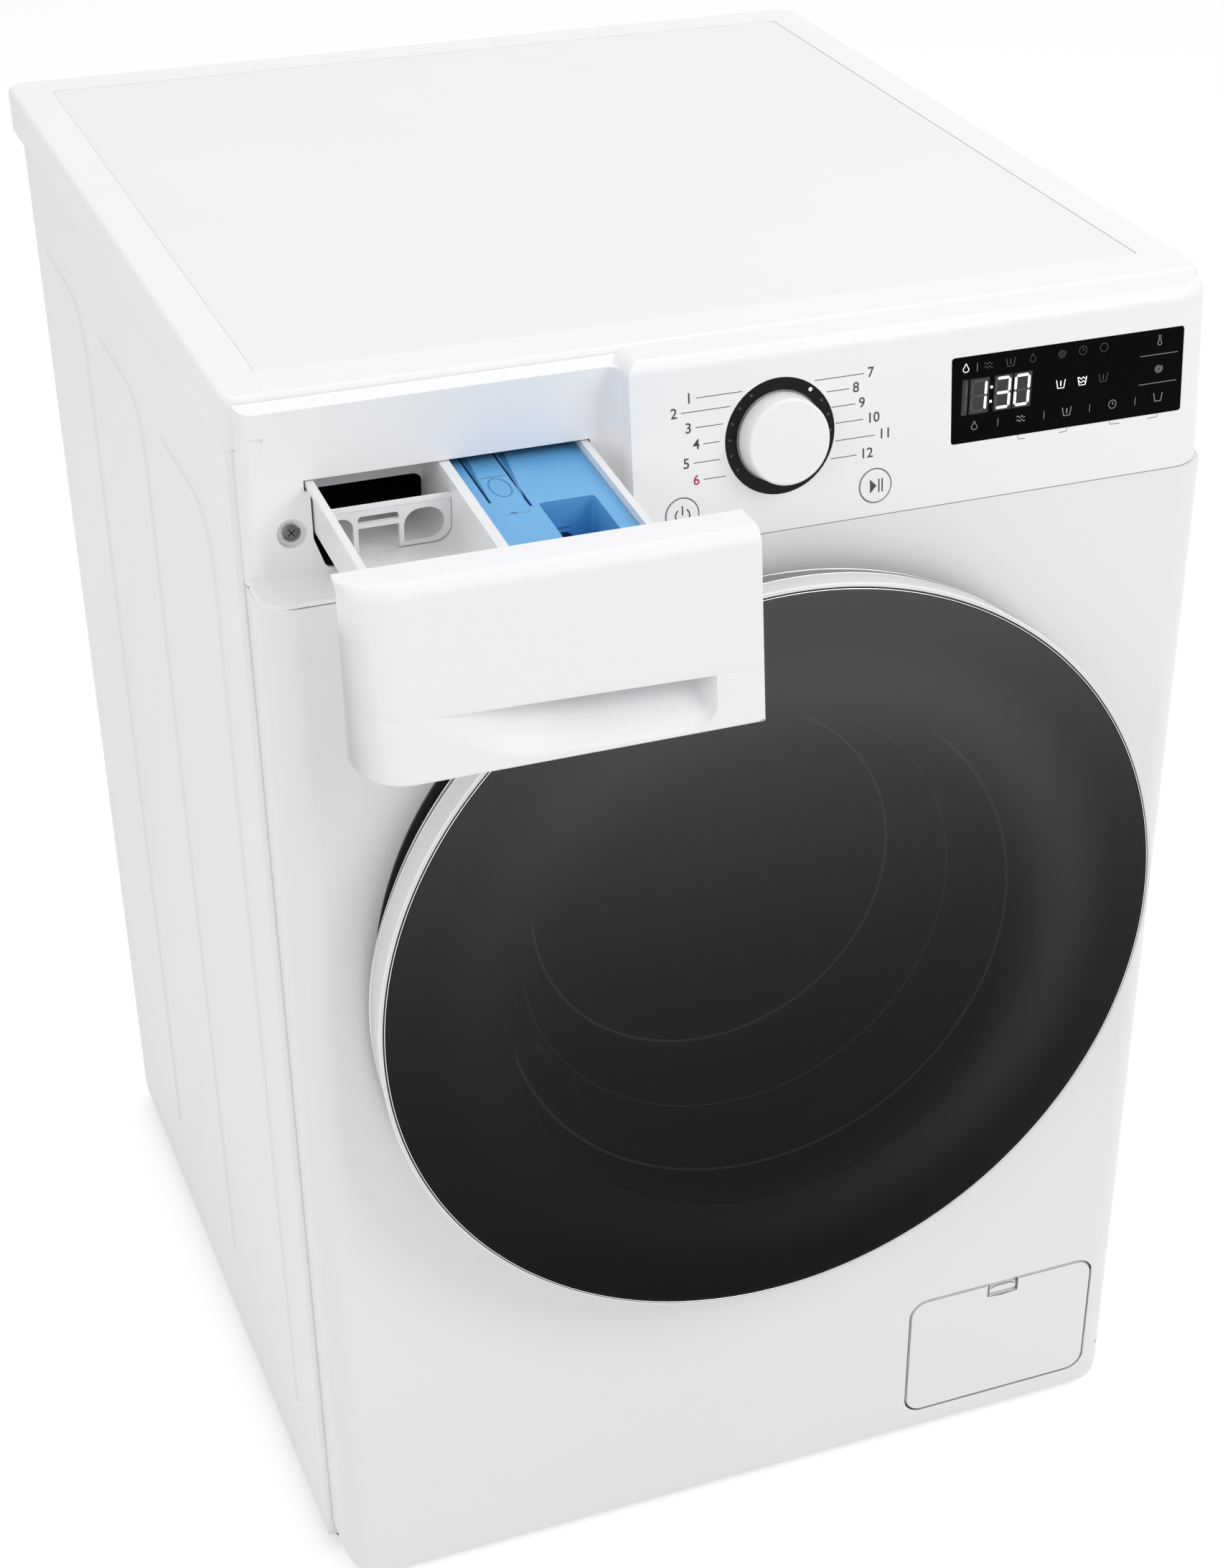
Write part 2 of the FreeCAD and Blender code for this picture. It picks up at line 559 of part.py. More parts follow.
def top_rails():
    """Front cross rail under the worktop and the two side rails that carry the springs."""
    y0 = cabinet_front + sheet + fit
    half = cabinet_inside
    top = lid_low - fit
    channel = [(y0, top), (y0, rail_low), (y0 + rail_deep, rail_low), (y0 + rail_deep, top),
               (y0 + rail_deep - 1.5, top), (y0 + rail_deep - 1.5, rail_low + 1.5), (y0 + 1.5, rail_low + 1.5),
               (y0 + 1.5, top)]
    front = bar_yz(channel, -half, half)
    y0, y1, low = spring_rows[0] - 18, spring_rows[1] + 30, rail_low - 12
    side = fused([box(spring_x - 14, side_inner, y0, y1, low, low + 2),
                  box(side_inner - 2, side_inner, y0, y1, low, low + 20)])
    holes = [rod(spring_wire * 2 + fit, (spring_x, y, low - 9), (spring_x, y, low + 9)) for y in spring_rows]
    return Part.makeCompound([front] + both_sides(side.cut(holes)))


# Door

def door_ring():
    """White outer ring: a narrow front band, a tapering side and a ledge behind the glass."""
    inner = glass_radius + glass_gap
    ledge = door_front + glass_thick + fit
    back = ring_radius - ring_taper
    section = [(inner, door_front), (ring_radius, door_front, ring_edge), (back, ring_back, 1),
               (back - shell, ring_back), (ring_radius - shell - 1.5, ledge + shell, 1),
               (frame_radius - 2, ledge + shell), (frame_radius - 2, ledge), (inner, ledge)]
    ring = turned(section)
    reach = ring_radius * 2
    start, end = math.radians(grip_from), math.radians(grip_to)
    middle = (start + end) / 2
    wedge = [(0, door_z)] + [(reach * math.cos(a), door_z + reach * math.sin(a)) for a in (start, middle, end)]
    return ring.cut(plate_xz(wedge, grip_back, 0))


def door_cover_glass():
    """Dark round front glass, flat at its rim and very slightly dished inside it."""
    middle = door_front + glass_thick / 2
    path = [(glass_radius, middle), (glass_radius - 24, middle, 60), (glass_radius - 52, middle + 3, 60),
            (0, middle + 3)]
    glass = turned(ribbon(path, glass_thick))
    return glass.makeChamfer(0.5, edges_where(glass, lambda b: b.XLength > 2 * glass_radius - 1
                                              and b.YMax < door_front + 0.01))


def bracket_screw_places():
    return [(hinge_x + 18.0, door_z + dz) for dz in (-10.0, 10.0)]


def bracket_screws():
    """Cross-head screws of the hinge plate."""
    face = dish_floor - 3
    screws = []
    for x, z in bracket_screw_places():
        head = turned([(0, face - 2.4), (3, face - 1.8, 1), (screw_head, face), (0, face)], x, z)
        shank = rod(screw_radius, (x, face - 0.5, z), (x, face + rivet_depth, z))
        slots = [box(x - 2, x + 2, face - 3, face - 1.3, z - 0.4, z + 0.4),
                 box(x - 0.4, x + 0.4, face - 3, face - 1.3, z - 2, z + 2)]
        screws.append(fused([head, shank]).cut(slots))
    return Part.makeCompound(screws)


def bracket_holes():
    return [rod(screw_radius + bearing_fit, (x, 0, z), (x, dish_floor + 20, z))
            for x, z in bracket_screw_places()]


def door_frame():
    """Inner frame of the door: a channel behind the glass that holds the bowl, hinge and latch."""
    front = door_front + glass_thick + 2 * fit + shell
    back = frame_back
    inner = bowl_flange + fit
    section = [(frame_radius, front), (frame_radius, back, 2), (bowl_flange - 10, back),
               (bowl_flange - 10, back - shell), (inner, back - shell), (inner, front + 4),
               (inner + shell, front + 4), (inner + shell, back - shell),
               (frame_radius - shell, back - shell), (frame_radius - shell, front)]
    frame = turned(section)
    reach = 41.0
    swing = rod(reach, (hinge_x, hinge_y, door_z - hinge_span - 3), (hinge_x, hinge_y, door_z + hinge_span + 3))
    pocket = swing.common(box(hinge_x - reach, hinge_x + reach, front - 1, 10, door_z - 99, door_z + 99))
    slot = box(latch_x - latch_half - 3, latch_x + latch_half, back - shell - 1, back + 1,
               door_z - 10, door_z + 10)
    post = fused([box(latch_x - 7, latch_x + 7, front, back - shell, door_z + side * 13 - 2,
                      door_z + side * 13 + 2) for side in (-1, 1)] + [frame.cut([pocket, slot])])
    seat = box(hinge_x + 42, hinge_x + 60, leaf_seat, back - shell + 0.5, door_z - hinge_span,
               door_z + hinge_span)
    screws = [rod(screw_radius, (hinge_x + 51, leaf_seat - 9, door_z + dz), (hinge_x + 51, back - 6, door_z + dz))
              for dz in hinge_screws()]
    bore = rod(2 + bearing_fit, (latch_x, latch_pivot(), door_z - 30), (latch_x, latch_pivot(), door_z + 30))
    return fused([post, seat.cut(screws)]).cut([bore])


def latch_pivot():
    return frame_back - shell - 6


def hinge_screws():
    return (-26.0, 26.0)


def door_bowl():
    """Clear glass bowl that fills the mouth of the drum."""
    front = frame_back - shell - bowl_thick / 2
    path = [(bowl_flange, front), (bowl_mouth, front, 8), (bowl_mouth - 10, 40, 20),
            (bowl_mouth - 34, bowl_depth - 8, 18), (60, bowl_depth, 60), (0, bowl_depth)]
    return turned(ribbon(path, bowl_thick))


def hinge_bracket():
    """Hinge plate in the dish of the front panel, with two arms bent forward round the door's edge."""
    plate = box(hinge_x + 12, hinge_x + 38, dish_floor - 3, dish_floor, door_z - hinge_span - 6,
                door_z + hinge_span + 6)
    arms = []
    for side in (-1, 1):
        middle = door_z + side * (hinge_span - knuckle_tall / 2)
        low, high = middle - knuckle_tall / 2, middle + knuckle_tall / 2
        barrel = rod(knuckle_radius, (hinge_x, hinge_y, low), (hinge_x, hinge_y, high))
        path = ribbon([(hinge_x, hinge_y), (hinge_x + 30, hinge_y, 6), (hinge_x + 30, dish_floor - 1)], 5)
        arms += [barrel, column_xy(path, low, high)]
    bore = rod(hinge_pin_radius + bearing_fit, (hinge_x, hinge_y, door_z - 60), (hinge_x, hinge_y, door_z + 60))
    return fused([plate] + arms).cut([bore] + bracket_holes())


def hinge_pin():
    """Steel pin of the door's hinge."""
    return rod(hinge_pin_radius, (hinge_x, hinge_y, door_z - hinge_span), (hinge_x, hinge_y, door_z + hinge_span))


def hinge_leaf():
    """The door's half of the hinge: a barrel between the arms and a leaf screwed to the frame."""
    half = hinge_span - knuckle_tall - fit
    barrel = rod(knuckle_radius, (hinge_x, hinge_y, door_z - half), (hinge_x, hinge_y, door_z + half))
    back = leaf_seat - fit
    web = box(hinge_x, hinge_x + 40, hinge_y - 5.5, hinge_y - 2.5, door_z - half, door_z + half)
    leaf = box(hinge_x + 37, hinge_x + 59, back - 3, back, door_z - hinge_span, door_z + hinge_span)
    step = box(hinge_x + 37, hinge_x + 40, back - 3, hinge_y - 2.5, door_z - half, door_z + half)
    holes = [rod(hinge_pin_radius + bearing_fit, (hinge_x, hinge_y, door_z - 60), (hinge_x, hinge_y, door_z + 60))]
    holes += [rod(screw_radius, (hinge_x + 51, back - 9, door_z + dz), (hinge_x + 51, back + 5, door_z + dz))
              for dz in hinge_screws()]
    return fused([barrel, web, leaf, step]).cut(holes)


def latch_hook():
    """Latch hook on its cross pin in the door frame."""
    pivot = latch_pivot()
    arm = column_xy([(latch_x - 4, pivot - 4, 3), (latch_x + 4, pivot - 4, 3), (latch_x + 3.5, 16, 1),
                     (latch_x + 7, 20, 1), (latch_x + 3, 25, 2), (latch_x - 3.5, 25, 2)], door_z - 7, door_z + 7)
    return fused([arm, rod(2, (latch_x, pivot, door_z - 15), (latch_x, pivot, door_z + 15))])


def door_lock():
    """Interlock box behind the front panel that takes the hook."""
    y0 = dish_floor + sheet + fit
    body = box(latch_x - 17, latch_x + 24, y0, y0 + 26, door_z - 34, door_z + 34)
    return body.cut(box(latch_x - latch_half - 4, latch_x + latch_half + 5, y0 - 1, y0 + 21, door_z - 12,
                        door_z + 12))


def gasket():
    """Rubber bellows from the door mouth to the tub, with a lip against the bowl."""
    inner = mouth_radius - sheet / 2 - 1.7 - 0.2
    rear = neck_radius + tub_wall / 2 + 1.7 + fit
    path = [(bowl_mouth - 3, 20), (inner, 20, 5), (inner, 50, 8), (rear, 60, 6), (rear, neck_front + 12)]
    return turned(ribbon(path, 3.4))


# Control panel

def panel_blank(inset):
    """The thick part of the control panel as a solid, drawn inset by the wall."""
    low, top = panel_low + inset, panel_top - inset
    front = [face_y(low) + inset, face_y(top) + inset]
    if inset:
        section = [(front[0], low), (front[1], top), (lid_front - 0.4 - inset, top),
                   (lid_front - 0.4 - inset, lid_low - 0.5 - inset), (60, lid_low - 0.5 - inset), (60, low)]
    else:
        section = [(front[0], low), (front[1], top), (lid_front - 0.4, top), (lid_front - 0.4, lid_low - 0.5),
                   (panel_back, lid_low - 0.5), (panel_back, low)]
    solid = bar_yz(section, split_x + inset, front_half - inset)
    corner = edges_where(solid, lambda b: b.XMin > front_half - inset - 0.01 and b.YMin < 1 + inset
                         and b.ZLength > 50)
    solid = solid.makeFillet(front_radius - inset, corner)
    brow = edges_where(solid, lambda b: b.ZMin > top - 0.01 and b.YMin < front[1] + 0.01)
    return solid.makeFillet(panel_edge - inset, brow)


def recess_blank(inset):
    """The thin part of the control panel behind the drawer's front, as a solid."""
    low = panel_low + inset
    y0 = recess_y + inset
    rear = 60 if inset else panel_back
    lip = lid_front - 0.4 - inset
    section = [(y0, low), (y0, recess_top - inset * 0.6), (lip, recess_top + 4 - inset),
               (lip, lid_low - 0.5 - inset), (rear, lid_low - 0.5 - inset), (rear, low)]
    solid = bar_yz(section, -front_half + inset, split_x + shell + (inset and 1))
    corner = edges_where(solid, lambda b: b.XMax < -front_half + inset + 0.01 and b.YMax < y0 + 0.01)
    return solid.makeFillet(recess_left - inset, corner)


def ledge():
    """Sloping shelf along the foot of the recess, rounded like the front panel below it."""
    section = [(fit, panel_low), (fit, ledge_front), (recess_y + 1, ledge_back), (recess_y + 1, panel_low)]
    shelf = bar_yz(section, -front_half, split_x + 1)
    plan = [(-front_half, recess_y + 1), (-front_half, fit, front_radius), (split_x + 1, fit),
            (split_x + 1, recess_y + 1)]
    shelf = shelf.common(column_xy(plan, panel_low - 5, ledge_back + 5))
    return shelf.common(box(-front_half, split_x + 1, 0, recess_y + 1, 0, height))


def control_panel():
    """Moulded control panel: a leaning thick part, a recess for the drawer, and its bosses."""
    thick = panel_blank(0).cut(panel_blank(shell))
    thin = recess_blank(0).cut(recess_blank(shell))
    thin = thin.cut(box(split_x + 0.01, split_x + 20, recess_y - 1, 60, 0, panel_low + shell))
    cove = box(split_x - 8, split_x + 1, recess_y - 8, recess_y + 1, panel_low, recess_top)
    cove = cove.cut(rod(8, (split_x - 8, recess_y - 8, 0), (split_x - 8, recess_y - 8, height)))
    pads = [on_panel(rod(ring_outer + 2, (0, shell - 1, 0), (0, shell + 2, 0)), knob_at)]
    for at in (power_at, start_at):
        pads.append(on_panel(rod(button_radius + 1.5, (0, shell - 1, 0), (0, shell + 4, 0)), at))
    for x, s in board_posts():
        pads.append(on_panel(rod(3.5, (0, shell - 1, 0), (0, board_gap - fit, 0)), (x, s)))
    boss = rod(screw_bore + 2, (screw_at[0], recess_y + 1, screw_at[1]),
               (screw_at[0], recess_y + 7, screw_at[1]))
    body = fused([thick, thin, ledge(), cove, boss] + pads)
    cuts = [on_panel(rod(ring_outer + 0.1, (0, -5, 0), (0, ring_thick, 0)), knob_at),
            on_panel(rod(3.4, (0, -5, 0), (0, 20, 0)), knob_at)]
    for at in (power_at, start_at):
        cuts.append(on_panel(rod(button_radius, (0, -5, 0), (0, shell, 0)), at))
        cuts.append(on_panel(rod(2.5 + bearing_fit, (0, -5, 0), (0, 20, 0)), at))
    cuts.append(on_panel(plate_xz(rectangle(window_low, window_high, window_corner), -3, shell + 0.5)))
    left, low, notch = tray_left + rim_wide - 1.2, tray_low - 0.8, tray_high - rim_tall - 1.5
    opening = [(tray_left + chine_in - 5, low, 5), (tray_right + 1, low, 4), (tray_right + 1, tray_high + 1, 1),
               (tray_left - 1, tray_high + 1), (tray_left - 1, notch, 0.5), (left, notch, 0.5),
               (left, tray_low + chine_up - 3, 6)]
    cuts.append(plate_xz(opening, recess_y - 12, recess_y + 12))
    cuts.append(rod(screw_bore, (screw_at[0], recess_y - 5, screw_at[1]),
                    (screw_at[0], recess_y + 3.5, screw_at[1])))
    cuts.append(rod(screw_radius + bearing_fit, (screw_at[0], recess_y - 5, screw_at[1]),
                    (screw_at[0], recess_y + 20, screw_at[1])))
    cuts.append(box(-front_half - 1, -front_half + 14, recess_y - 1, recess_y + 1.2, lid_low + 5.8, lid_low + 8.3))
    return body.cut(cuts)


def board_posts():
    rows = (split_x + 11.7, window_low[0] - 11.8, front_half - 23.0)
    return [(x, s) for x in rows for s in (9.0, panel_face - 16.1)]


def knob_ring():
    """Black ring round the knob, flush with the panel."""
    section = [(knob_radius + 1, -0.2, 0.3), (ring_outer, -0.2, 0.5), (ring_outer, ring_thick - 0.1),
               (knob_radius + 1, ring_thick - 0.1)]
    return on_panel(turned(section, 0, 0), knob_at)


def program_knob():
    """Program knob with its shaft."""
    front = -knob_high
    section = [(0, front), (knob_radius - 0.9, front, 1.6), (knob_radius, -0.5, 0.4),
               (knob_radius - 2, -0.5), (knob_radius - 3, front + 2.5, 2), (5, front + 2.5), (5, -0.5),
               (3, -0.5), (3, board_gap - 0.5), (0, board_gap - 0.5)]
    return on_panel(turned(section, 0, 0), knob_at)


def button(at):
    """Round push button: a thin cap with a stem in the panel's guide."""
    radius = button_radius - fit
    section = [(0, -0.5), (radius, -0.5, 0.4), (radius, 1.1), (2.5, 1.1), (2.5, board_gap - button_travel - 1),
               (0, board_gap - button_travel - 1)]
    return on_panel(turned(section, 0, 0), at)


def display_window():
    """Black window over the display."""
    return on_panel(plate_xz(rectangle(window_low, window_high, window_corner - 0.1, -0.1), -0.15, shell - 0.3))


def control_board():
    """Circuit board behind the panel with the display block, the encoder and two switches."""
    board = box(split_x + 5.7, front_half - 17, board_gap, board_gap + 1.6, 4.5, panel_face - 12.1)
    block = plate_xz(rectangle(window_low, window_high, 1, -3), shell, board_gap)
    stem = rod(3 + bearing_fit, (knob_at[0], 0, knob_at[1]), (knob_at[0], board_gap, knob_at[1]))
    encoder = box(knob_at[0] - 7, knob_at[0] + 7, shell + 2.3, board_gap, knob_at[1] - 7, knob_at[1] + 7)
    switches = [box(x - 3, x + 3, board_gap - 0.7, board_gap, s - 3, s + 3) for x, s in (power_at, start_at)]
    return Part.makeCompound([on_panel(part) for part in [board, block, encoder.cut(stem)] + switches])


def panel_screw():
    """Cross-head screw in its counterbore beside the drawer."""
    x, z = screw_at
    seat = recess_y + 3.5
    head = turned([(0, seat - 2.4), (3.2, seat - 2.0, 1.2), (4.8, seat, 0), (0, seat)], x, z)
    shank = rod(screw_radius, (x, seat - 0.5, z), (x, recess_y + 7, z))
    slots = [box(x - 2.2, x + 2.2, seat - 3, seat - 1.2, z - 0.45, z + 0.45),
             box(x - 0.45, x + 0.45, seat - 3, seat - 1.2, z - 2.2, z + 2.2)]
    return fused([head, shank]).cut(slots)


# Detergent drawer

def dispenser_housing():
    """Housing that the drawer runs in, with its water inlet and its outlet to the tub."""
    gap = 1.0
    low, high = tray_low - fit, tray_high + 3
    outer = box(tray_left - gap - housing_wall, tray_right + gap + housing_wall, 10, housing_back,
                low - housing_wall, high + housing_wall)
    inner = box(tray_left - gap, tray_right + gap, 0, housing_back - housing_wall, low, high)
    body = on_slope(outer).cut(on_slope(inner))
    body = body.cut(box(-width, width, -20, recess_y + shell + fit, 0, height))
    x, z = screw_at
    body = body.cut(rod(screw_bore + 2 + fit, (x, 0, z), (x, recess_y + 7 + fit, z)))
    inlet = hose_joint()
    pipe = rod(7.5, (inlet.x, inlet.y - 15, inlet.z), (inlet.x, inlet.y, inlet.z))
    spout = rod(outlet_radius, (outlet_x, outlet_y, seam_z - 6.9), (outlet_x, outlet_y, tray_low + 10))
    bore = rod(outlet_bore, (outlet_x, outlet_y, seam_z - 40), (outlet_x, outlet_y, low + 12))
    body = fused([body, pipe, spout.cut(on_slope(inner))])
    return body.cut([rod(5.5, (inlet.x, inlet.y - 20, inlet.z), (inlet.x, inlet.y + 1, inlet.z)), bore])


def hose_joint():
    """End of the water pipe behind the dispenser."""
    return V(divider_right, housing_back + pipe_long, tray_high + 5)


def drawer_front():
    """Front of the drawer: leaning face, big left radius, top lip and a scooped finger grip."""
    back = recess_y - 0.7
    section = [(face_y(front_bottom), front_bottom), (face_y(front_top), front_top),
               (lid_front - 1, front_top), (lid_front - 1, recess_top + 4.8), (back, recess_top + 0.9),
               (back, front_bottom + 6.4)]
    solid = bar_yz(section, front_left, front_right)
    corner = edges_where(solid, lambda b: b.XMax < front_left + 0.01 and b.YMin < 1 and b.ZLength > 50)
    solid = solid.makeFillet(front_round, corner)
    brow = edges_where(solid, lambda b: b.ZMin > front_top - 0.01 and b.YMin < lid_front - 6)
    solid = solid.makeFillet(panel_edge, brow)
    foot = edges_where(solid, lambda b: b.ZMax < front_bottom + 6 and b.XLength > 50 and b.YMax < 2)
    solid = solid.makeFillet(1.5, foot)
    x, y = front_right - rear_round, back - rear_round
    heel = box(x, front_right + 1, y, back + 1, 0, recess_top).cut(rod(rear_round, (x, y, 0), (x, y, height)))
    behind_grip, low, top = grip_deep + 6, front_bottom + 13.2, front_top - 10.6
    hollow = bar_yz([(behind_grip, low), (behind_grip, grip_high + 9), (front_thick, grip_high + 14),
                     (front_thick, top), (60, top), (60, low)], front_left + 11.5, front_right - 8)
    front = solid.cut([hollow, heel, finger_grip()])
    moved = front.copy()
    moved.translate(drawer_open)
    return moved


def finger_grip():
    """Scoop under a straight edge: deep at its right end, running out to nothing at its left."""
    def section(x, deep):
        high, low = grip_high, grip_low_z
        points = [V(x, face_y(high) - 2, high), V(x, face_y(high) + deep, high),
                  V(x, face_y(high) + deep, high - 4), V(x, face_y(low) + 0.02, low),
                  V(x, face_y(low) - 2, low)]
        return Part.makePolygon(points + points[:1])

    return Part.makeLoft([section(grip_left, 0.05), section(grip_right - 70, grip_deep),
                          section(grip_right, grip_deep)], True, True)


def drawer_tray():
    """Tray with a powder compartment on the left and a softener compartment on the right."""
    low, high = tray_low, tray_high
    side = tray_left + rim_wide
    section = [(tray_left + chine_in, low, 4), (tray_right, low, 3), (tray_right, high, 0.6),
               (tray_left, high, 0.6), (tray_left, high - rim_tall, 0.6), (side, high - rim_tall),
               (side, low + chine_up, 5)]
    solid = plate_xz(section, 10, tray_back)
    y0, y1 = recess_y + 6, tray_back - shell
    softener = plate_xz([(divider_right, low + tray_floor, 3), (tray_right - tray_wall, low + tray_floor, 3),
                         (tray_right - tray_wall, high + 1), (divider_right, high + 1)], y0, y1)
    left = tray_left + tray_wall
    powder = plate_xz([(left, powder_z, 10), (divider_left, powder_z, 10), (divider_left, high + 20),
                       (left, high + 20)], -50, tray_back + 50)
    powder.rotate(V(0, flap_y, powder_z), X_AXIS, -powder_fall)
    powder = powder.common(box(left, divider_left, y0, y1, low, high + 1))
    gap = plate_xz([(left + 3, high - outlet_high - 22, 2), (divider_left, high - outlet_high - 22, 2),
                    (divider_left, high - outlet_high - 1.8, 6), (left + 3, high - outlet_high - 1.8, 6)],
                   tray_back - 10, tray_back + 5)
    fall = math.tan(math.radians(powder_fall))
    under = [(y, powder_z - shell - (y - flap_y) * fall) for y in (y0, tray_back - shell)]
    hollow = bar_yz([(y0, low - 1), under[0], under[1], (tray_back - shell, low - 1)],
                    tray_left + chine_in + 4, divider_left - shell)
    cuts = [softener, powder, gap, hollow]
    cuts.append(rod(flap_pin + bearing_fit, (tray_left + 1, flap_y, flap_z), (divider_left + 4, flap_y, flap_z)))
    tray = on_slope(solid.cut(cuts)).cut(box(-width, width, -50, recess_y - 0.4, 0, height))
    tray.translate(drawer_open)
    return tray


def powder_flap():
    """Hanging flap across the powder compartment, with three arched openings."""
    x0, x1 = tray_left + tray_wall + fit, divider_left - fit
    high, low = flap_z + flap_pin, flap_low
    y0, y1 = flap_y - flap_thick / 2, flap_y + flap_thick / 2
    plate = plate_xz([(x0, low, 10), (x1, low, 10), (x1, high, 1), (x0, high, 1)], y0, y1)
    pin = rod(flap_pin, (x0 - 2.8, flap_y, flap_z), (x1 + 2.8, flap_y, flap_z))
    third = x1 - arch_right - arch_wide
    second = third - post_wide - arch_wide
    top, bar = high - arch_drop, low + bar_low
    arches = [[(x0 + 1.5, low - 5), (second - post_wide, low - 5), (second - post_wide, top, 7), (x0 + 1.5, top, 6)],
              [(second, bar + bar_tall), (second + arch_wide, bar + bar_tall), (second + arch_wide, top, 11.5),
               (second, top, 11.5)],
              [(second, low - 5), (second + arch_wide, low - 5), (second + arch_wide, bar), (second, bar)],
              [(third, low + 1.4, 2), (x1 - arch_right, low + 1.4, 9), (x1 - arch_right, top, 11.5),
               (third, top, 11.5)]]
    flap = fused([plate, pin]).cut([plate_xz(arch, y0 - 5, y1 + 5) for arch in arches])
    flap = on_slope(flap)
    flap.translate(drawer_open)
    return flap


def softener_insert():
    """Blue siphon insert: a tongue to push between two slots, a hood, and a filling well."""
    x0, x1 = insert_left, insert_right
    y0, y1 = insert_near, tray_back - shell - fit
    low, top = tray_low + tray_floor + fit, insert_top
    outer = box(x0, x1, y0, y1, low + 8, top)
    inner = box(x0 + 1.5, x1 - 1.5, y0 + 1.5, y1 - 1.5, low, top - 1.5)
    feet = [box(x - 3, x + 3, y - 3, y + 3, low, low + 9) for x in (x0 + 4.4, x1 - 4.4)
            for y in (y0 + 4.4, y1 - 4.4)]
    well = column_xy(rectangle(well_low, well_high, 4, 1.5), top - well_deep - 1.5, top)
    bore = column_xy(rectangle(well_low, well_high, 2.5), top - well_deep, top + 5)
    window = column_xy(rectangle((well_low[0] + 3, well_low[1] + 3), (well_high[0] - 12, well_low[1] + 20), 2),
                       top - 40, top - 10)
    slots = [box(x0 + lane_from - slot_wide, x0 + lane_from, well_high[1] + 8, y1 - 4, top - 5, top + 5),
             box(x0 + lane_to, x0 + lane_to + slot_wide, well_high[1] - 2, y1 - 4, top - 5, top + 5)]
    insert = fused([outer.cut(inner), well] + feet).cut([bore, window] + slots)
    insert = on_slope(insert)
    insert.translate(drawer_open)
    return insert


def dispenser_hose():
    """Ribbed rubber sleeve from the dispenser's outlet to the tub."""
    low, high, ribs = seam_z - 51.9, seam_z + 10.1, 6
    pitch = (high - low) / ribs
    bumps = []
    for number in range(ribs):
        base = low + number * pitch
        bumps += [(outlet_radius + 3, base, 1), (outlet_radius + 6, base + pitch / 2, 2)]
    bore = outlet_radius + bearing_fit
    section = [(bore, low)] + bumps + [(bore + 3, high), (bore, high)]
    sleeve = spun(section, outlet_x, outlet_y)
    keep_off = on_slope(box(-width, 0, 0, housing_back + 20, tray_low - fit - housing_wall - fit, height))
    return sleeve.cut(keep_off)


# Filter cover and pump

def filter_cover():
    """Cover over the pump filter, hinged at its lower edge, with a window for its latch."""
    plate = plate_xz(rectangle(cover_low, cover_high, cover_corner), 0, cover_thick)
    plate = plate.makeFillet(0.6, edges_where(plate, lambda b: b.YMax < 0.01))
    window = plate_xz([(latch_low[0], latch_low[1] + 1, 1), ((latch_low[0] + latch_high[0]) / 2, latch_low[1]),
                       (latch_high[0], latch_low[1] + 1, 1), (latch_high[0], latch_high[1] + 5),
                       (latch_low[0], latch_high[1] + 5)], -1, cover_thick + 1)
    y, z = cover_hinge
    lugs, pins = [], []
    for x0, outward in ((cover_low[0] + 0.5, -1), (cover_high[0] - 4.5, 1)):
        lugs.append(bar_yz([(1, z - 4), (y + 2, z - 4, 3), (y + 4, z + 3, 3), (1, z + 8)], x0, x0 + 4))
        end = x0 + 2 + outward * 7.5
        pins.append(rod(cover_pin, (x0 + 2, y, z), (end, y, z)))
    guides = [box(x - 1.5, x + 1.5, 1, 5.5, latch_low[1] - 4, latch_high[1] - 3)
              for x in (latch_low[0] - 1.8, latch_high[0] + 1.8)]
    return fused([plate.cut(window)] + lugs + pins + guides)


def filter_latch():
    """Sliding latch tab in the cover's window."""
    x0, x1 = latch_low[0] + 0.4, latch_high[0] - 0.4
    z0, z1 = latch_low[1], latch_high[1]
    tab = plate_xz([(x0 + 1.6, z0 + 4.2, 1), (x1 - 1.6, z0 + 4.2, 1), (x1 - 1.6, z1 - 2.2, 1),
                    ((x0 + x1) / 2, z1 - 4.4, 20), (x0 + 1.6, z1 - 2.2, 1)], 0.6, 4)
    slider = box(x0, x1, cover_thick + fit, cover_thick + fit + 2, z0 - 1, z1 + 0.6)
    return fused([tab, slider])


def drain_pump():
    """Pump body: filter chamber, impeller chamber, motor and its hose stubs."""
    middle = (pump_x, pump_z)
    chamber = rod(pump_radius, (middle[0], pump_front, middle[1]), (middle[0], pump_back, middle[1]))
    motor = rod(pump_radius - 6, (middle[0], pump_back - 1, middle[1]), (middle[0], pump_back + 52, middle[1]))
    inlet = rod(hose_radius + 6, sump_hose_path()[-1], (pump_x - 20, pump_front + 46, pump_z))
    outlet = rod(spigot_radius, drain_start(), drain_hose_path()[0])
    body = fused([chamber, motor, inlet, outlet])
    bores = [rod(filter_radius + fit, (middle[0], pump_front - 1, middle[1]), (middle[0], pump_back - 22, middle[1])),
             rod(impeller_radius + 1, (middle[0], pump_back - 32, middle[1]), (middle[0], pump_back - 5, middle[1])),
             rod(2.5 + bearing_fit, (middle[0], pump_back - 12, middle[1]), (middle[0], pump_back + 10, middle[1])),
             rod(hose_radius + 3, sump_hose_path()[-1], (pump_x - 20, pump_front + 46, pump_z)),
             rod(spigot_radius - 2, drain_start(), drain_hose_path()[0])]
    return body.cut(bores)


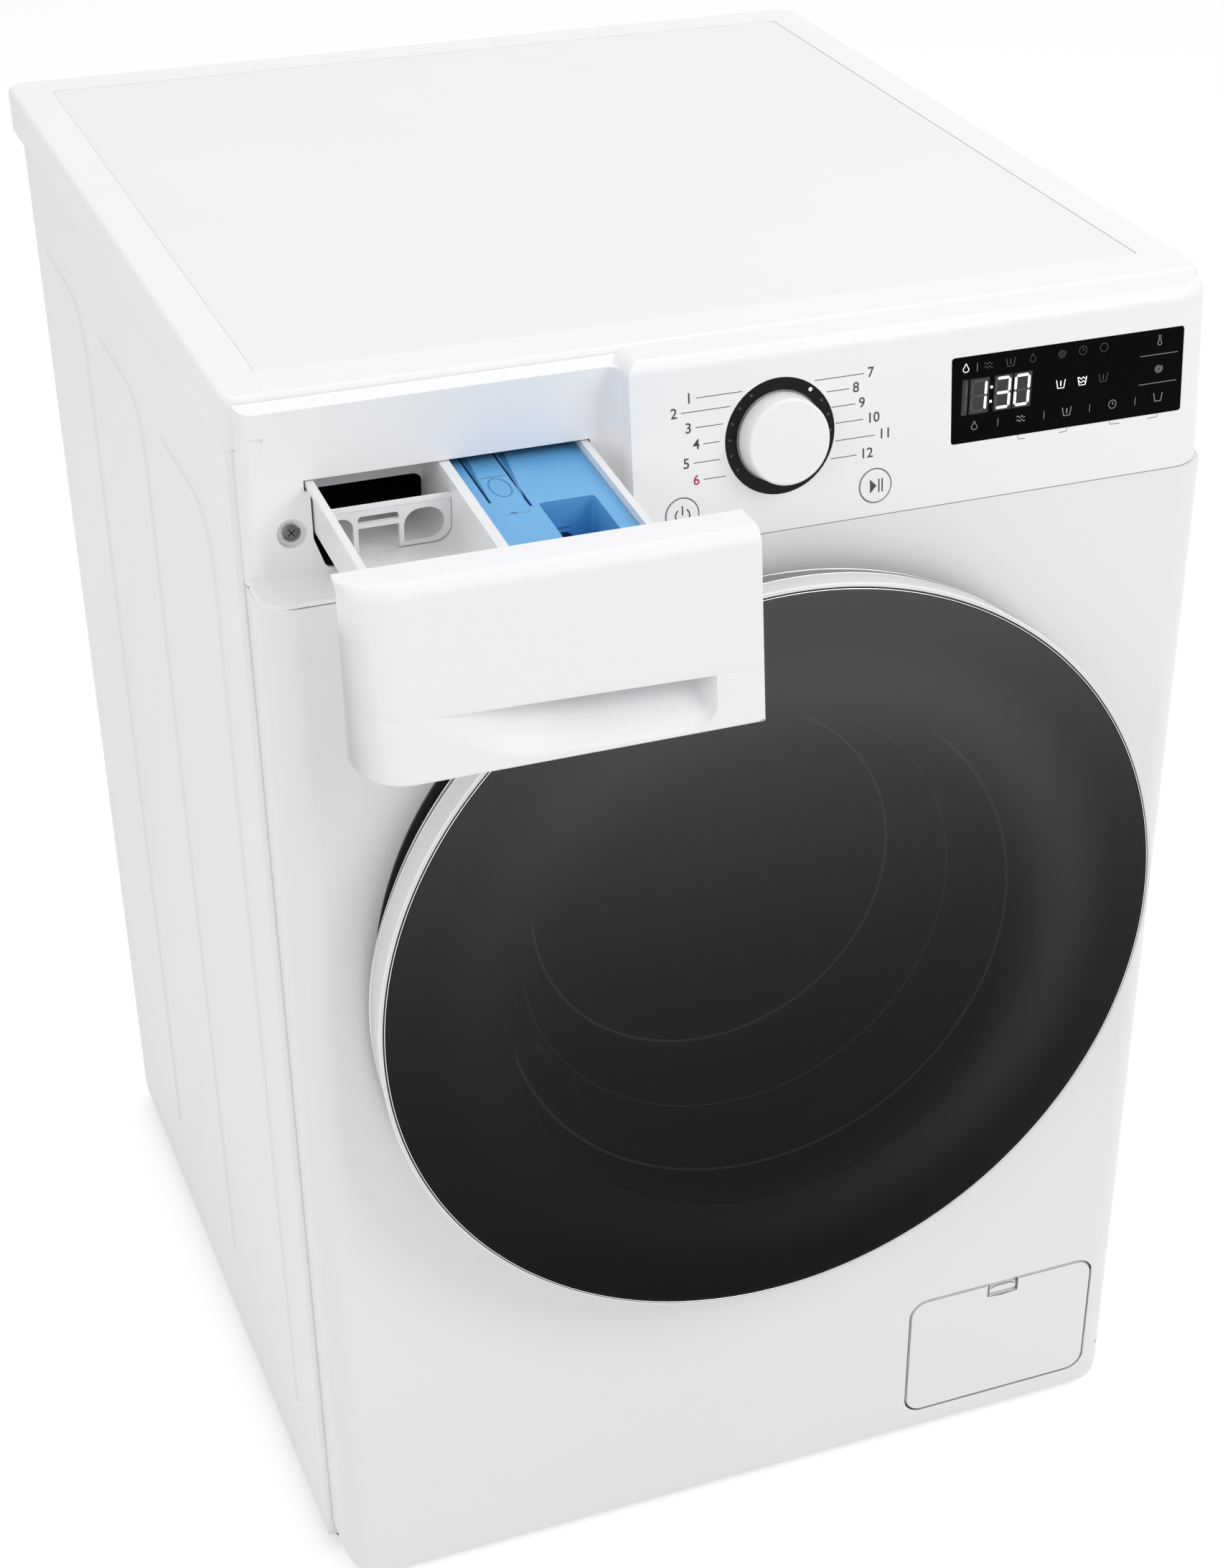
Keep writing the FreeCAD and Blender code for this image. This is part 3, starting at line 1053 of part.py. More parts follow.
def pump_filter():
    """Screw-in fluff filter with its grip bar."""
    x, z = pump_x, pump_z
    plug = rod(filter_radius, (x, pump_front - 4, z), (x, pump_front + 12, z))
    grip = plate_xz(rectangle((x - 20, z - 4), (x + 20, z + 4), 3), pump_front - 14, pump_front - 3)
    basket = rod(filter_radius - 3, (x, pump_front + 11, z), (x, pump_front + filter_long, z))
    basket = basket.cut(rod(filter_radius - 5, (x, pump_front + 13, z), (x, pump_front + filter_long + 9, z)))
    windows = [plate_xz(rectangle((x - 6, z + 8), (x + 6, z + 40)), y, y + 8)
               for y in (pump_front + 16, pump_front + 30, pump_front + 44)]
    turned_windows = []
    for window in windows:
        for quarter in range(4):
            copy = window.copy()
            copy.rotate(V(x, 0, z), Y_AXIS, 90 * quarter)
            turned_windows.append(copy)
    return fused([plug, grip, basket.cut(turned_windows)])


def pump_impeller():
    """Four-bladed impeller on its shaft."""
    x, z = pump_x, pump_z
    y0, y1 = pump_back - 19, pump_back - 7
    parts = [rod(5, (x, y0, z), (x, y1, z)), rod(2.5, (x, y1 - 1, z), (x, pump_back + 8, z))]
    for quarter in range(4):
        blade = box(x, x + impeller_radius - 1, y0, y1, z - 1, z + 1)
        blade.rotate(V(x, 0, z), Y_AXIS, 90 * quarter)
        parts.append(blade)
    return fused(parts)


def sump_hose_path():
    end = pump_z + 4
    fall = sump_low - end
    return [(sump_x, sump_y, sump_low), (sump_x, sump_y, end + 0.615 * fall),
            (sump_x + 24, sump_y - 10, end + 0.27 * fall), (pump_x - 80, sump_y - 34, end + 0.04 * fall),
            (pump_x - 50, pump_back - 14, end)]


def drain_start():
    return (pump_x + 10, pump_back - 20, pump_z + 10)


def drain_hose_path():
    x, z = spigot_at
    start = V(*drain_start())
    along = V(32, 5, 5).normalize()
    low, rear = damper_low + 30, cabinet_rear - 55.1
    return [tuple(start + along * 26), tuple(start + along * 53), (x, pump_back + 78, low + 4),
            (x, pump_back + 188, low), (x, rear - 130, low), (x, rear - 40, low + 4), (x, rear, low + 54),
            (x, rear, z), (x, spigot_end - 36, z)]


# Tub and drum

def tub_front():
    """Front half of the tub with its neck, joint flange, sump and spring lugs."""
    path = [(neck_radius, neck_front), (neck_radius, tub_front_y, 6), (tub_radius, tub_front_y, 16),
            (tub_radius, tub_joint)]
    half = turned(ribbon(path, tub_wall))
    rim, start = tub_radius + tub_flange, tub_joint - flange_thick
    flange = turned([(tub_radius, start), (rim, start), (rim, tub_joint), (tub_radius, tub_joint)])
    sump = rod(sump_radius, (sump_x, sump_y, sump_low), (sump_x, sump_y, sump_low + 60))
    top = door_z + math.sqrt(tub_radius ** 2 - outlet_x ** 2)
    inlet = rod(outlet_radius, (outlet_x, outlet_y, top - 22), (outlet_x, outlet_y, seam_z - 19.9))
    parts = [half, flange, sump, inlet] + damper_ears(damper_rows[0])
    inner = tub_radius - tub_wall / 2
    drum_room = turned([(0, tub_front_y + 2), (inner, tub_front_y + 2, 14), (inner, tub_joint), (0, tub_joint)])
    bores = [rod(sump_radius - 4, (sump_x, sump_y, sump_low - 10), (sump_x, sump_y, sump_low + 80)),
             rod(outlet_bore, (outlet_x, outlet_y, top - 42), (outlet_x, outlet_y, seam_z - 12))]
    return fused(parts).cut([drum_room] + bores)


def damper_ears(row):
    lugs = []
    for side in (-1, 1):
        x, z = side * damper_head[0], damper_head[1]
        lugs += ears(x, z, row, 11, z - 10, z + 32)
    return lugs


def spring_lugs(spring_y):
    """Arms that the springs hook into, one each side."""
    inner = math.sqrt(tub_radius ** 2 - spring_rise ** 2) - 10.3
    arm = box(inner, spring_x + 10, spring_y - 9, spring_y + 9, spring_lug - 8, spring_lug)
    hole = rod(spring_wire * 2 + fit, (spring_x, spring_y, spring_lug - 50), (spring_x, spring_y, spring_lug + 50))
    fin = bar_yz([(spring_y - 2, spring_lug - 60), (spring_y + 2, spring_lug - 60),
                  (spring_y + 2, spring_lug - 7), (spring_y - 2, spring_lug - 7)], inner + 10, spring_x - 18)
    return both_sides(arm.cut(hole)) + both_sides(fin)


def tub_rear():
    """Rear half of the tub with the bearing hub and its stiffening fins."""
    wall = turned(ribbon([(tub_radius, tub_joint + fit), (tub_radius, tub_back, 20), (30, tub_back)], tub_wall))
    start = tub_joint + fit
    rim, end = tub_radius + tub_flange, start + flange_thick
    flange = turned([(tub_radius, start), (rim, start), (rim, end), (tub_radius, end)])
    hub = rod(hub_radius, (0, tub_back - 1, door_z), (0, hub_back, door_z))
    fins = []
    for number in range(12):
        fin = box(hub_radius - 4, tub_radius - 6, tub_back, tub_back + 14, door_z - 2, door_z + 2)
        fin.rotate(V(0, 0, door_z), Y_AXIS, 30 * number + 15)
        fins.append(fin)
    seats = turned([(stator_inner - 8, tub_back), (stator_inner + 8, tub_back),
                    (stator_inner + 8, stator_front - fit), (stator_inner - 8, stator_front - fit)])
    parts = [wall, flange, hub, seats] + fins + damper_ears(damper_rows[1])
    for row in spring_rows:
        parts += spring_lugs(row)
    inner, rear = tub_radius - tub_wall / 2, tub_back - tub_wall / 2
    room = turned([(0, start - 1), (inner, start - 1), (inner, rear, 18), (0, rear)])
    bores = [rod(shaft_radius + 1.5, (0, tub_back - 20, door_z), (0, hub_back + 5, door_z))]
    for y in bearing_places():
        bores.append(rod(bearing_radius, (0, y, door_z), (0, y + bearing_wide, door_z)))
    front_bearing, rear_bearing = bearing_places()
    bores.append(rod(bearing_radius, (0, tub_back - 20, door_z), (0, front_bearing + 1, door_z)))
    bores.append(rod(bearing_radius, (0, rear_bearing + bearing_wide - 1, door_z), (0, hub_back + 5, door_z)))
    for side in (-1, 1):
        bores.append(rod(heater_tube + 0.1, (side * heater_x, tub_back - 20, door_z - heater_radius),
                         (side * heater_x, tub_back + 20, door_z - heater_radius)))
    return fused(parts).cut([room] + bores)


def bearing_places():
    return tub_back + 2, hub_back - bearing_wide - 2


def drum_bearings():
    """The two ball bearings in the hub."""
    rings = []
    for y in bearing_places():
        y1 = y + bearing_wide
        bore = shaft_radius + bearing_fit
        inner = turned([(bore, y), (bore + 4, y), (bore + 4, y1), (bore, y1)])
        middle = (bore + 4 + bearing_radius - 4) / 2
        ball = (bearing_radius - 8 - bore) / 2 + 0.6
        groove = Part.makeTorus(middle, ball, V(0, (y + y1) / 2, door_z), Y_AXIS)
        cage = turned([(bore + 4, y + 1), (bearing_radius - 4, y + 1), (bearing_radius - 4, y1 - 1),
                       (bore + 4, y1 - 1)])
        outer = turned([(bearing_radius - 4, y), (bearing_radius, y), (bearing_radius, y1),
                        (bearing_radius - 4, y1)])
        rings += [inner.cut(groove), outer.cut(groove), cage.cut(cage.cut(groove))]
    return Part.makeCompound(rings)


def drum_shell():
    """Stainless drum: rolled front lip, cylinder and rear wall."""
    path = [(drum_mouth, drum_front - 8), (drum_mouth, drum_front + 4, 4), (drum_radius - 16, drum_front, 8),
            (drum_radius, drum_front + 14, 6), (drum_radius, drum_rear, 10), (28, drum_rear)]
    return turned(ribbon(path, drum_wall))


def drum_lifters():
    """Hollow paddles inside the drum."""
    base = drum_radius - drum_wall / 2 - fit
    y0, y1 = drum_front + 40, drum_rear - 30
    low = base - 5
    section = [(-lifter_wide / 2, low), (-lifter_wide / 4, base - lifter_high, 10),
               (lifter_wide / 4, base - lifter_high, 10), (lifter_wide / 2, low), (lifter_wide / 2, base + 9),
               (-lifter_wide / 2, base + 9)]
    blade = plate_xz([(u, door_z - v, *r) for u, v, *r in section], y0, y1)
    inner = plate_xz([(u * 0.9, door_z - (v + shell if r else v), *r) for u, v, *r in section],
                     y0 + shell, y1 - shell)
    skin = rod(base, (0, y0 - 1, door_z), (0, y1 + 1, door_z))
    blade = blade.common(skin).cut(inner)
    paddles = []
    for number in range(lifter_count):
        paddle = blade.copy()
        paddle.rotate(V(0, 0, door_z), Y_AXIS, 360 / lifter_count * number)
        paddles.append(paddle)
    return Part.makeCompound(paddles)


def drum_spider():
    """Cast three-arm spider behind the drum."""
    y0, y1 = drum_rear + drum_wall / 2, drum_rear + drum_wall / 2 + spider_thick
    arms = []
    for number in range(lifter_count):
        arm = plate_xz([(0, door_z - 16), (drum_radius - 6, door_z - 26, 6), (drum_radius - 6, door_z + 26, 6),
                        (0, door_z + 16)], y0, y1)
        arm.rotate(V(0, 0, door_z), Y_AXIS, 360 / lifter_count * number + 90)
        arms.append(arm)
    hub = rod(40, (0, y0, door_z), (0, y1, door_z))
    return fused([hub] + arms).cut(rod(shaft_radius + bearing_fit, (0, y0 - 30, door_z), (0, y1 + 5, door_z)))


def drum_shaft():
    """Drive shaft, with its flange inside the drum and its nut behind the rotor."""
    start, end = drum_rear - 6, rotor_back + 16
    shaft = rod(shaft_radius, (0, start, door_z), (0, end, door_z))
    cap = turned([(0, start - 6), (34, drum_rear - drum_wall / 2 - 3, 4), (34, drum_rear - drum_wall / 2),
                  (0, drum_rear - drum_wall / 2)])
    nut = plate_xz([(24 * math.cos(math.radians(60 * n)), door_z + 24 * math.sin(math.radians(60 * n)))
                    for n in range(6)], rotor_back + 3, rotor_back + 14)
    return fused([shaft, cap, nut])


def motor_stator():
    """Ring of wound poles on the back of the tub."""
    y0, y1 = stator_front, stator_front + stator_thick
    yoke = turned([(stator_inner, y0), (stator_inner + 18, y0), (stator_inner + 18, y1), (stator_inner, y1)])
    poles = []
    for number in range(pole_count):
        pole = fused([box(stator_inner + 16, stator_outer - 3, y0 + 2, y1 - 2, door_z - 5, door_z + 5),
                      box(stator_outer - 4, stator_outer, y0, y1, door_z - 7, door_z + 7)])
        pole.rotate(V(0, 0, door_z), Y_AXIS, 360 / pole_count * number)
        poles.append(pole)
    return fused([yoke] + poles).cut(rod(stator_inner, (0, y0 - 5, door_z), (0, y1 + 5, door_z)))


def motor_rotor():
    """Steel rotor cup round the stator, with vents."""
    back = rotor_back
    path = [(rotor_radius, stator_front - 1), (rotor_radius, back, 10), (46, back, 4), (30, back - 3)]
    cup = turned(ribbon(path, rotor_wall))
    hub = rod(34, (0, hub_back + 1, door_z), (0, back + 2.7, door_z))
    vents = []
    for number in range(10):
        vent = rod(11, (92, back - 10, door_z), (92, back + 10, door_z))
        vent.rotate(V(0, 0, door_z), Y_AXIS, 36 * number)
        vents.append(vent)
    bore = rod(shaft_radius + bearing_fit, (0, back - 30, door_z), (0, back + 10, door_z))
    return fused([cup, hub]).cut(vents + [bore])


def suspension_springs():
    """Four close-wound springs that hang the tub from the side rails."""
    low, high = spring_lug, rail_low - 12
    start, end = low + 8, high - 8
    pitch = (end - start) / spring_turns
    coil = []
    for number in range(spring_turns):
        coil += [(spring_radius - spring_wire, start + number * pitch, 0.4),
                 (spring_radius, start + (number + 0.5) * pitch, 1.2)]
    neck = spring_wire * 2
    section = ([(0, low - 12), (neck + 3, low - 12), (neck + 3, low - 8 - fit), (neck, low - 8 - fit),
                (neck, start - 2), (spring_radius - spring_wire, start - 2)] + coil
               + [(spring_radius - spring_wire, end), (neck, end + 2), (neck, high + 2 + fit),
                  (neck + 3, high + 2 + fit), (neck + 3, high + 6), (0, high + 6)])
    springs = [spun(section, side * spring_x, y) for side in (-1, 1) for y in spring_rows]
    return Part.makeCompound(springs)


def dampers():
    """Four friction dampers between the base and the tub, each with its two cross pins."""
    parts = []
    for row in damper_rows:
        for side in (-1, 1):
            foot = V(side * damper_foot[0], row, damper_foot[1])
            head = V(side * damper_head[0], row, damper_head[1])
            along = (head - foot).normalize()
            span = (head - foot).Length
            barrel = Part.makeCylinder(damper_radius - 6, 24, foot + along * 6, along)
            body = Part.makeCylinder(damper_radius, 100, foot + along * 22, along)
            bore = Part.makeCylinder(6 + bearing_fit, 120, foot + along * 30, along)
            eyes = [rod(10, (p.x, row - ear_gap + fit, p.z), (p.x, row + ear_gap - fit, p.z))
                    for p in (foot, head)]
            holes = [rod(damper_pin + bearing_fit, (p.x, row - 40, p.z), (p.x, row + 40, p.z))
                     for p in (foot, head)]
            parts.append(fused([barrel, body, eyes[0]]).cut([bore, holes[0]]))
            ram = Part.makeCylinder(6, span - 36, foot + along * 32, along)
            parts.append(fused([ram, eyes[1]]).cut(holes[1]))
            parts += [rod(damper_pin, (p.x, row - ear_gap - ear_thick, p.z), (p.x, row + ear_gap + ear_thick, p.z))
                      for p in (foot, head)]
    return Part.makeCompound(parts)


def counterweights():
    """Cast concrete blocks above and below the neck of the tub."""
    back = tub_front_y - tub_wall / 2 - fit
    section = [(weight_inner, weight_front, 4), (weight_outer, weight_front, 8), (weight_outer, back, 2),
               (weight_inner, back, 2)]
    blocks = []
    for start in (90 - weight_span / 2, 270 - weight_span / 2):
        block = turned(section, angle=weight_span)
        block.rotate(V(0, 0, door_z), Y_AXIS, -start - weight_span)
        blocks.append(block)
    return Part.makeCompound(blocks)


def heater():
    """Tubular water heater low in the tub, with its flange and terminals behind."""
    z = door_z - heater_radius
    legs = [rod(heater_tube, (side * heater_x, heater_front, z), (side * heater_x, tub_back + 12, z))
            for side in (-1, 1)]
    bend = Part.makeTorus(heater_x, heater_tube, V(0, heater_front, z), Z_AXIS, 0, 360, 180)
    bend.rotate(V(0, heater_front, z), Z_AXIS, 180)
    flange = plate_xz(rectangle((-heater_x - 10, z - 12), (heater_x + 10, z + 9), 8),
                      tub_back + tub_wall / 2 + fit, tub_back + tub_wall / 2 + 5)
    tabs = [box(side * heater_x - 3, side * heater_x + 3, tub_back + 11, tub_back + 20, z - 0.5, z + 0.5)
            for side in (-1, 1)]
    return fused(legs + [bend, flange] + tabs)


# Rear fittings

def inlet_valve():
    """Solenoid water valve, its threaded nozzle standing out of the rear."""
    x, z = inlet_at
    y = cabinet_rear - 2 * sheet - fit
    body = box(x - 18, x + 18, y - 36, y, z - 20, z + 16)
    body = body.makeFillet(3, edges_where(body, lambda b: b.ZLength > 10))
    nozzle = rod(inlet_radius, (x, y - 5, z), (x, inlet_end, z))
    collar = rod(inlet_radius + collar_wide, (x, y - 5, z), (x, cabinet_rear + collar_proud, z))
    coil = rod(13, (x, y - 20, z + 10), (x, y - 20, z + 40))
    stub = rod(7.5, (x, y - 50, z), (x, y - 30, z))
    bores = [rod(9, (x, y - 6, z), (x, inlet_end + 1, z)), rod(5.5, (x, y - 51, z), (x, y - 34, z))]
    return fused([body, nozzle, collar, coil, stub]).cut(bores)


def fill_hose():
    """Rubber hose from the inlet valve to the dispenser."""
    end = hose_joint()
    x, z = inlet_at
    start_y = cabinet_rear - 2 * sheet - fit - 50 - fit
    path = [(x, start_y, z), (x, start_y - 60, z + 2), (x + 8, start_y - 130, z + 16),
            (end.x - 4, start_y - 195, end.z - 4), (end.x, end.y + 30, end.z), (end.x, end.y + fit, end.z)]
    return hose(path, 8, 5.5)


def sump_hose():
    """Rubber hose from the tub's sump to the pump."""
    path = sump_hose_path()
    path[0] = (sump_x, sump_y, sump_low - fit)
    end = V(*path[-1])
    short = (V(*path[-2]) - end).normalize() * fit
    path[-1] = tuple(end + short)
    return hose(path, hose_radius + 6, hose_radius + 3)


def drain_hose():
    """Drain hose inside the cabinet, up to its spigot at the rear."""
    path = drain_hose_path()
    first, second = V(*path[0]), V(*path[1])
    path[0] = tuple(first + (second - first).normalize() * fit)
    return hose(path, hose_radius, spigot_radius - 2)


def drain_spigot():
    """Spigot in the rear panel for the outside drain hose."""
    x, z = spigot_at
    inner = cabinet_rear - 2 * sheet - fit
    start = drain_hose_path()[-1][1] + fit
    tail = rod(spigot_radius - 0.6, (x, start, z), (x, inner, z))
    pipe = rod(spigot_radius, (x, inner - 1, z), (x, spigot_end, z))
    flange = rod(spigot_radius + collar_wide + 3, (x, inner - 3, z), (x, inner, z))
    collar = rod(spigot_radius + collar_wide, (x, inner - 1, z), (x, cabinet_rear + collar_proud, z))
    body = fused([tail, pipe, flange, collar])
    return body.cut(rod(spigot_radius - 2, (x, start - 1, z), (x, spigot_end + 1, z)))


def cord_gland():
    """Bush in the rear panel where the mains lead would come out."""
    x, z = gland_at
    y = cabinet_rear - sheet
    section = [(gland_bore, y - 8), (gland_radius, y - 8), (gland_radius, y), (gland_radius + 4, y),
               (gland_radius + 3, y + 5, 2), (gland_bore, y + 8)]
    return turned(section, x, z)


right_side = side_panel()
nodes = {
    "side_panel_right": right_side, "side_panel_left": right_side.mirror(V(0, 0, 0), X_AXIS),
    "rear_panel": rear_panel(), "rear_cover": rear_cover(),
    "cross_screws": Part.makeCompound([cover_screws(), panel_screw(), bracket_screws()]),
    "transport_plugs": transport_plugs(), "base_pan": base_pan(), "foot_pads": foot_pads(),
    "foot_bolts": foot_bolts(), "front_panel": front_panel(), "top_frame": top_frame(),
    "top_plate": top_plate(), "top_rails": top_rails(), "door_ring": door_ring(),
    "door_cover_glass": door_cover_glass(), "door_frame": door_frame(), "door_bowl": door_bowl(),
    "hinge_bracket": hinge_bracket(), "hinge_pin": hinge_pin(), "hinge_leaf": hinge_leaf(),
    "latch_hook": latch_hook(), "door_lock": door_lock(), "gasket": gasket(),
    "control_panel": control_panel(), "knob_ring": knob_ring(), "program_knob": program_knob(),
    "power_button": button(power_at), "start_button": button(start_at),
    "display_window": display_window(), "control_board": control_board(),
    "dispenser_housing": dispenser_housing(), "drawer_front": drawer_front(), "drawer_tray": drawer_tray(),
    "powder_flap": powder_flap(), "softener_insert": softener_insert(), "dispenser_hose": dispenser_hose(),
    "filter_cover": filter_cover(), "filter_latch": filter_latch(), "drain_pump": drain_pump(),
    "pump_filter": pump_filter(), "pump_impeller": pump_impeller(), "tub_front": tub_front(),
    "tub_rear": tub_rear(), "drum_bearings": drum_bearings(), "drum_shell": drum_shell(),
    "drum_lifters": drum_lifters(), "drum_spider": drum_spider(), "drum_shaft": drum_shaft(),
    "motor_stator": motor_stator(), "motor_rotor": motor_rotor(),
    "suspension_springs": suspension_springs(), "dampers": dampers(), "counterweights": counterweights(),
    "heater": heater(), "inlet_valve": inlet_valve(), "fill_hose": fill_hose(), "sump_hose": sump_hose(),
    "drain_hose": drain_hose(), "drain_spigot": drain_spigot(), "cord_gland": cord_gland(),
}

os.makedirs("parts", exist_ok=True)
for name, shape in nodes.items():
    shape.translate(V(0, -row_y, 0))
    shape.exportStep(f"parts/{name}.step")
    print(f"{name}: {len(shape.Solids)} solids, {shape.Volume / 1000:.1f} cm3, valid {shape.isValid()}")
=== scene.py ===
# %% [markdown]
# # Front load washing machine
# The machine was modelled to size in a CAD program and packed as a fixed frame: sixty pieces on
# rigid bodies that hinge, slide and turn. This notebook dresses it. It keeps the CAD pieces that
# already have the right shape, gives every one of them a finish, swaps the three most looked-at
# ones (door glass, door ring, drawer front) for finer surfaces worked out with numpy, and adds
# the printing and other small marks.

# %% The frame
import json
import math

import bmesh
import bpy
import numpy as np
from mathutils import Matrix, Vector


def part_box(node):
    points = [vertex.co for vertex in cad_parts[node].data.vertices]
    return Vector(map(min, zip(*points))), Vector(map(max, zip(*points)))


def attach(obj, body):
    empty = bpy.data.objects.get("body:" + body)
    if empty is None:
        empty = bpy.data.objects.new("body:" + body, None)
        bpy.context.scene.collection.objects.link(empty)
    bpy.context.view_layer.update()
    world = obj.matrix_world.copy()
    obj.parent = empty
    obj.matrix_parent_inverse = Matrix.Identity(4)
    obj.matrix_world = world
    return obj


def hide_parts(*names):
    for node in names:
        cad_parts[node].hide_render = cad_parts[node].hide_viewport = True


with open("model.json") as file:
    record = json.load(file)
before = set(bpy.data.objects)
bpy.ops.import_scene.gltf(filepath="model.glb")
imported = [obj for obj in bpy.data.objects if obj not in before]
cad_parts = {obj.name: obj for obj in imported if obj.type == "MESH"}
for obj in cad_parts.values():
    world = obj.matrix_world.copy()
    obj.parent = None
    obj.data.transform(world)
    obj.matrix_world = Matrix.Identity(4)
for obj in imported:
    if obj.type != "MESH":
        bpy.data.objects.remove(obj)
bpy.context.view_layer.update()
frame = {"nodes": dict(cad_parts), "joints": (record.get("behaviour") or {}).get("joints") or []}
nodes = frame["nodes"]

# %% [markdown]
# ## Where things are
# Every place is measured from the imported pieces. The flat of the front panel is the zero of depth,
# the floor is the zero of height and the middle of the door is x = 0, all in millimetres, because
# that is how such a machine is drawn. `place` turns those into the frame's metres.

# %% Depth zero and the helper for places
front_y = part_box("front_panel")[0].y
door_low, door_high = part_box("door_cover_glass")
door_z = (door_low.z + door_high.z) / 2


def place(points):
    """Millimetres from the front panel's plane to metres: scale by 1/1000, then shift the depth."""
    points = np.asarray(points, float) / 1000
    return points + np.array([0, front_y, 0])


print(f"front panel at y = {front_y:.4f} m, door centre at z = {door_z:.4f} m")

# %% [markdown]
# ## Camera
# A studio picture of an appliance is taken from above and to one side with a long lens. The lens is
# also shifted, which keeps the upright edges from leaning too much, as an architect's camera does.

# %% Camera
scene = bpy.context.scene
optics = bpy.data.cameras.new("studio_camera")
camera = bpy.data.objects.new("studio_camera", optics)
scene.collection.objects.link(camera)
scene.camera = camera
optics.lens = 63.50
optics.shift_x, optics.shift_y = -0.0712, 0.1502
right = Vector((0.92513369, -0.37946128, 0.01169545))
down = Vector((-0.20545044, -0.52632228, -0.82509089))
view = Vector((0.31924562, 0.76091655, -0.56487896))
turn = Matrix((right, -down, -view)).transposed().to_4x4()
camera.matrix_world = Matrix.Translation((-0.58784, -1.58283, 1.40925)) @ turn
optics.clip_end = 50
print("lens", optics.lens, "mm")

# %% [markdown]
# ## Shader nodes
# Sky, floor and finishes are all small node graphs. `node` adds one node and feeds it, either with
# plain values or with what another node gives; the helpers after it are the few steps that
# the graphs below share.

# %% Node helpers
def feed(tree, socket, value):
    """Links an output to the socket, or sets the socket's plain value."""
    if isinstance(value, bpy.types.NodeSocket):
        tree.links.new(value, socket)
    else:
        socket.default_value = value


def node(tree, kind, *inputs, **values):
    """Adds a node. `inputs` feed its sockets in order; `values` set its attributes or, where the
    key names a socket, feed that socket."""
    made = tree.nodes.new("ShaderNode" + kind)
    for key, value in values.items():
        if hasattr(made, key):
            setattr(made, key, value)
        else:
            feed(tree, made.inputs[key], value)
    for socket, value in zip(made.inputs, inputs):
        feed(tree, socket, value)
    return made


def vector(tree, operation, *inputs, **values):
    """One step of vector arithmetic; returns a number for a length or a dot product, else a vector."""
    made = node(tree, "VectorMath", *inputs, operation=operation, **values)
    return made.outputs["Value" if operation in ("DOT_PRODUCT", "LENGTH") else "Vector"]


def rescale(tree, value, from_low, from_high, to_low=0, to_high=1):
    """Straight line through two points, held at both ends."""
    return node(tree, "MapRange", value, from_low, from_high, to_low, to_high).outputs["Result"]


def ramp(tree, source, *stops, curve="LINEAR"):
    """A colour ramp; its stops are pairs of a position and a grey level or a colour."""
    made = node(tree, "ValToRGB", source)
    made.color_ramp.interpolation = curve
    elements = made.color_ramp.elements
    elements.remove(elements[-1])
    for number, (position, value) in enumerate(stops):
        stop = elements[0] if number == 0 else elements.new(position)
        colour = (value, value, value) if isinstance(value, float) else value
        stop.position, stop.color = position, (*colour, 1)
    return made.outputs["Color"]


def background_rays(tree):
    """1 for the rays that look at the background: camera, transmission and glossy rays."""
    ray = node(tree, "LightPath").outputs
    first = node(tree, "Math", ray["Is Camera Ray"], ray["Is Transmission Ray"], operation="MAXIMUM")
    return node(tree, "Math", first.outputs[0], ray["Is Glossy Ray"], operation="MAXIMUM").outputs[0]


print("node helpers ready")

# %% [markdown]
# ## Light
# White enamel shows its shape only through very soft changes of tone. A bright, even sky does most of
# the work. A broad lamp from the upper right front, a weaker one from the left front and one
# above add the gradients. The background is plain white for the camera and for reflections alike.

# %% World
scene.view_settings.view_transform = "Standard"
world = bpy.data.worlds.new("white_studio")
scene.world = world
world.use_nodes = True
tree = world.node_tree
tree.nodes.clear()
sky, backdrop = (node(tree, "Background", (1, 1, 1, 1), strength).outputs[0] for strength in (0.62, 1.0))
seen = node(tree, "MixShader", background_rays(tree), sky, backdrop)
node(tree, "OutputWorld", seen.outputs[0])
print("sky at 0.62, background at 1")

# %% Lamps
lamps = [("key", (1.9, -2.4, 2.8), (0, 0, 0.6), 1.8, 38), ("side", (-2.5, -1.6, 1.6), (0, 0, 0.5), 1.8, 15),
         ("top", (0.2, 0.6, 3.2), (0, 0, 0.6), 2.2, 15)]
for name, spot, aim, size, watts in lamps:
    data = bpy.data.lights.new(name, "AREA")
    data.shape, data.size, data.energy = "SQUARE", size, watts
    light = bpy.data.objects.new(name, data)
    scene.collection.objects.link(light)
    facing = (Vector(aim) - Vector(spot)).to_track_quat("-Z", "Y").to_matrix().to_4x4()
    light.matrix_world = Matrix.Translation(spot) @ facing
print(len(lamps), "square area lamps")

# %% [markdown]
# ## Materials
# Each finish is one Principled shader with plain numbers and up to three kinds of fine structure:
# a slow drift of its tone, a slow drift of its roughness, and a grain, which is orange peel in
# enamel, mould grain in plastics and brushing in steel. All of it reads Object coordinates, in
# metres, so a pattern has its real size.

# %% Fine structure
def principled(material):
    """Inputs of a material's main shader."""
    return material.node_tree.nodes["Principled BSDF"].inputs


def object_coords(tree, stretch=(1, 1, 1)):
    """Object coordinates through a Mapping node that stretches the pattern."""
    return node(tree, "Mapping", node(tree, "TexCoord").outputs["Object"], Scale=stretch).outputs["Vector"]


def noise(tree, size, detail, stretch=(1, 1, 1)):
    """Noise with features of `size` metres."""
    return node(tree, "TexNoise", object_coords(tree, stretch), Scale=1 / size, Detail=detail).outputs["Fac"]


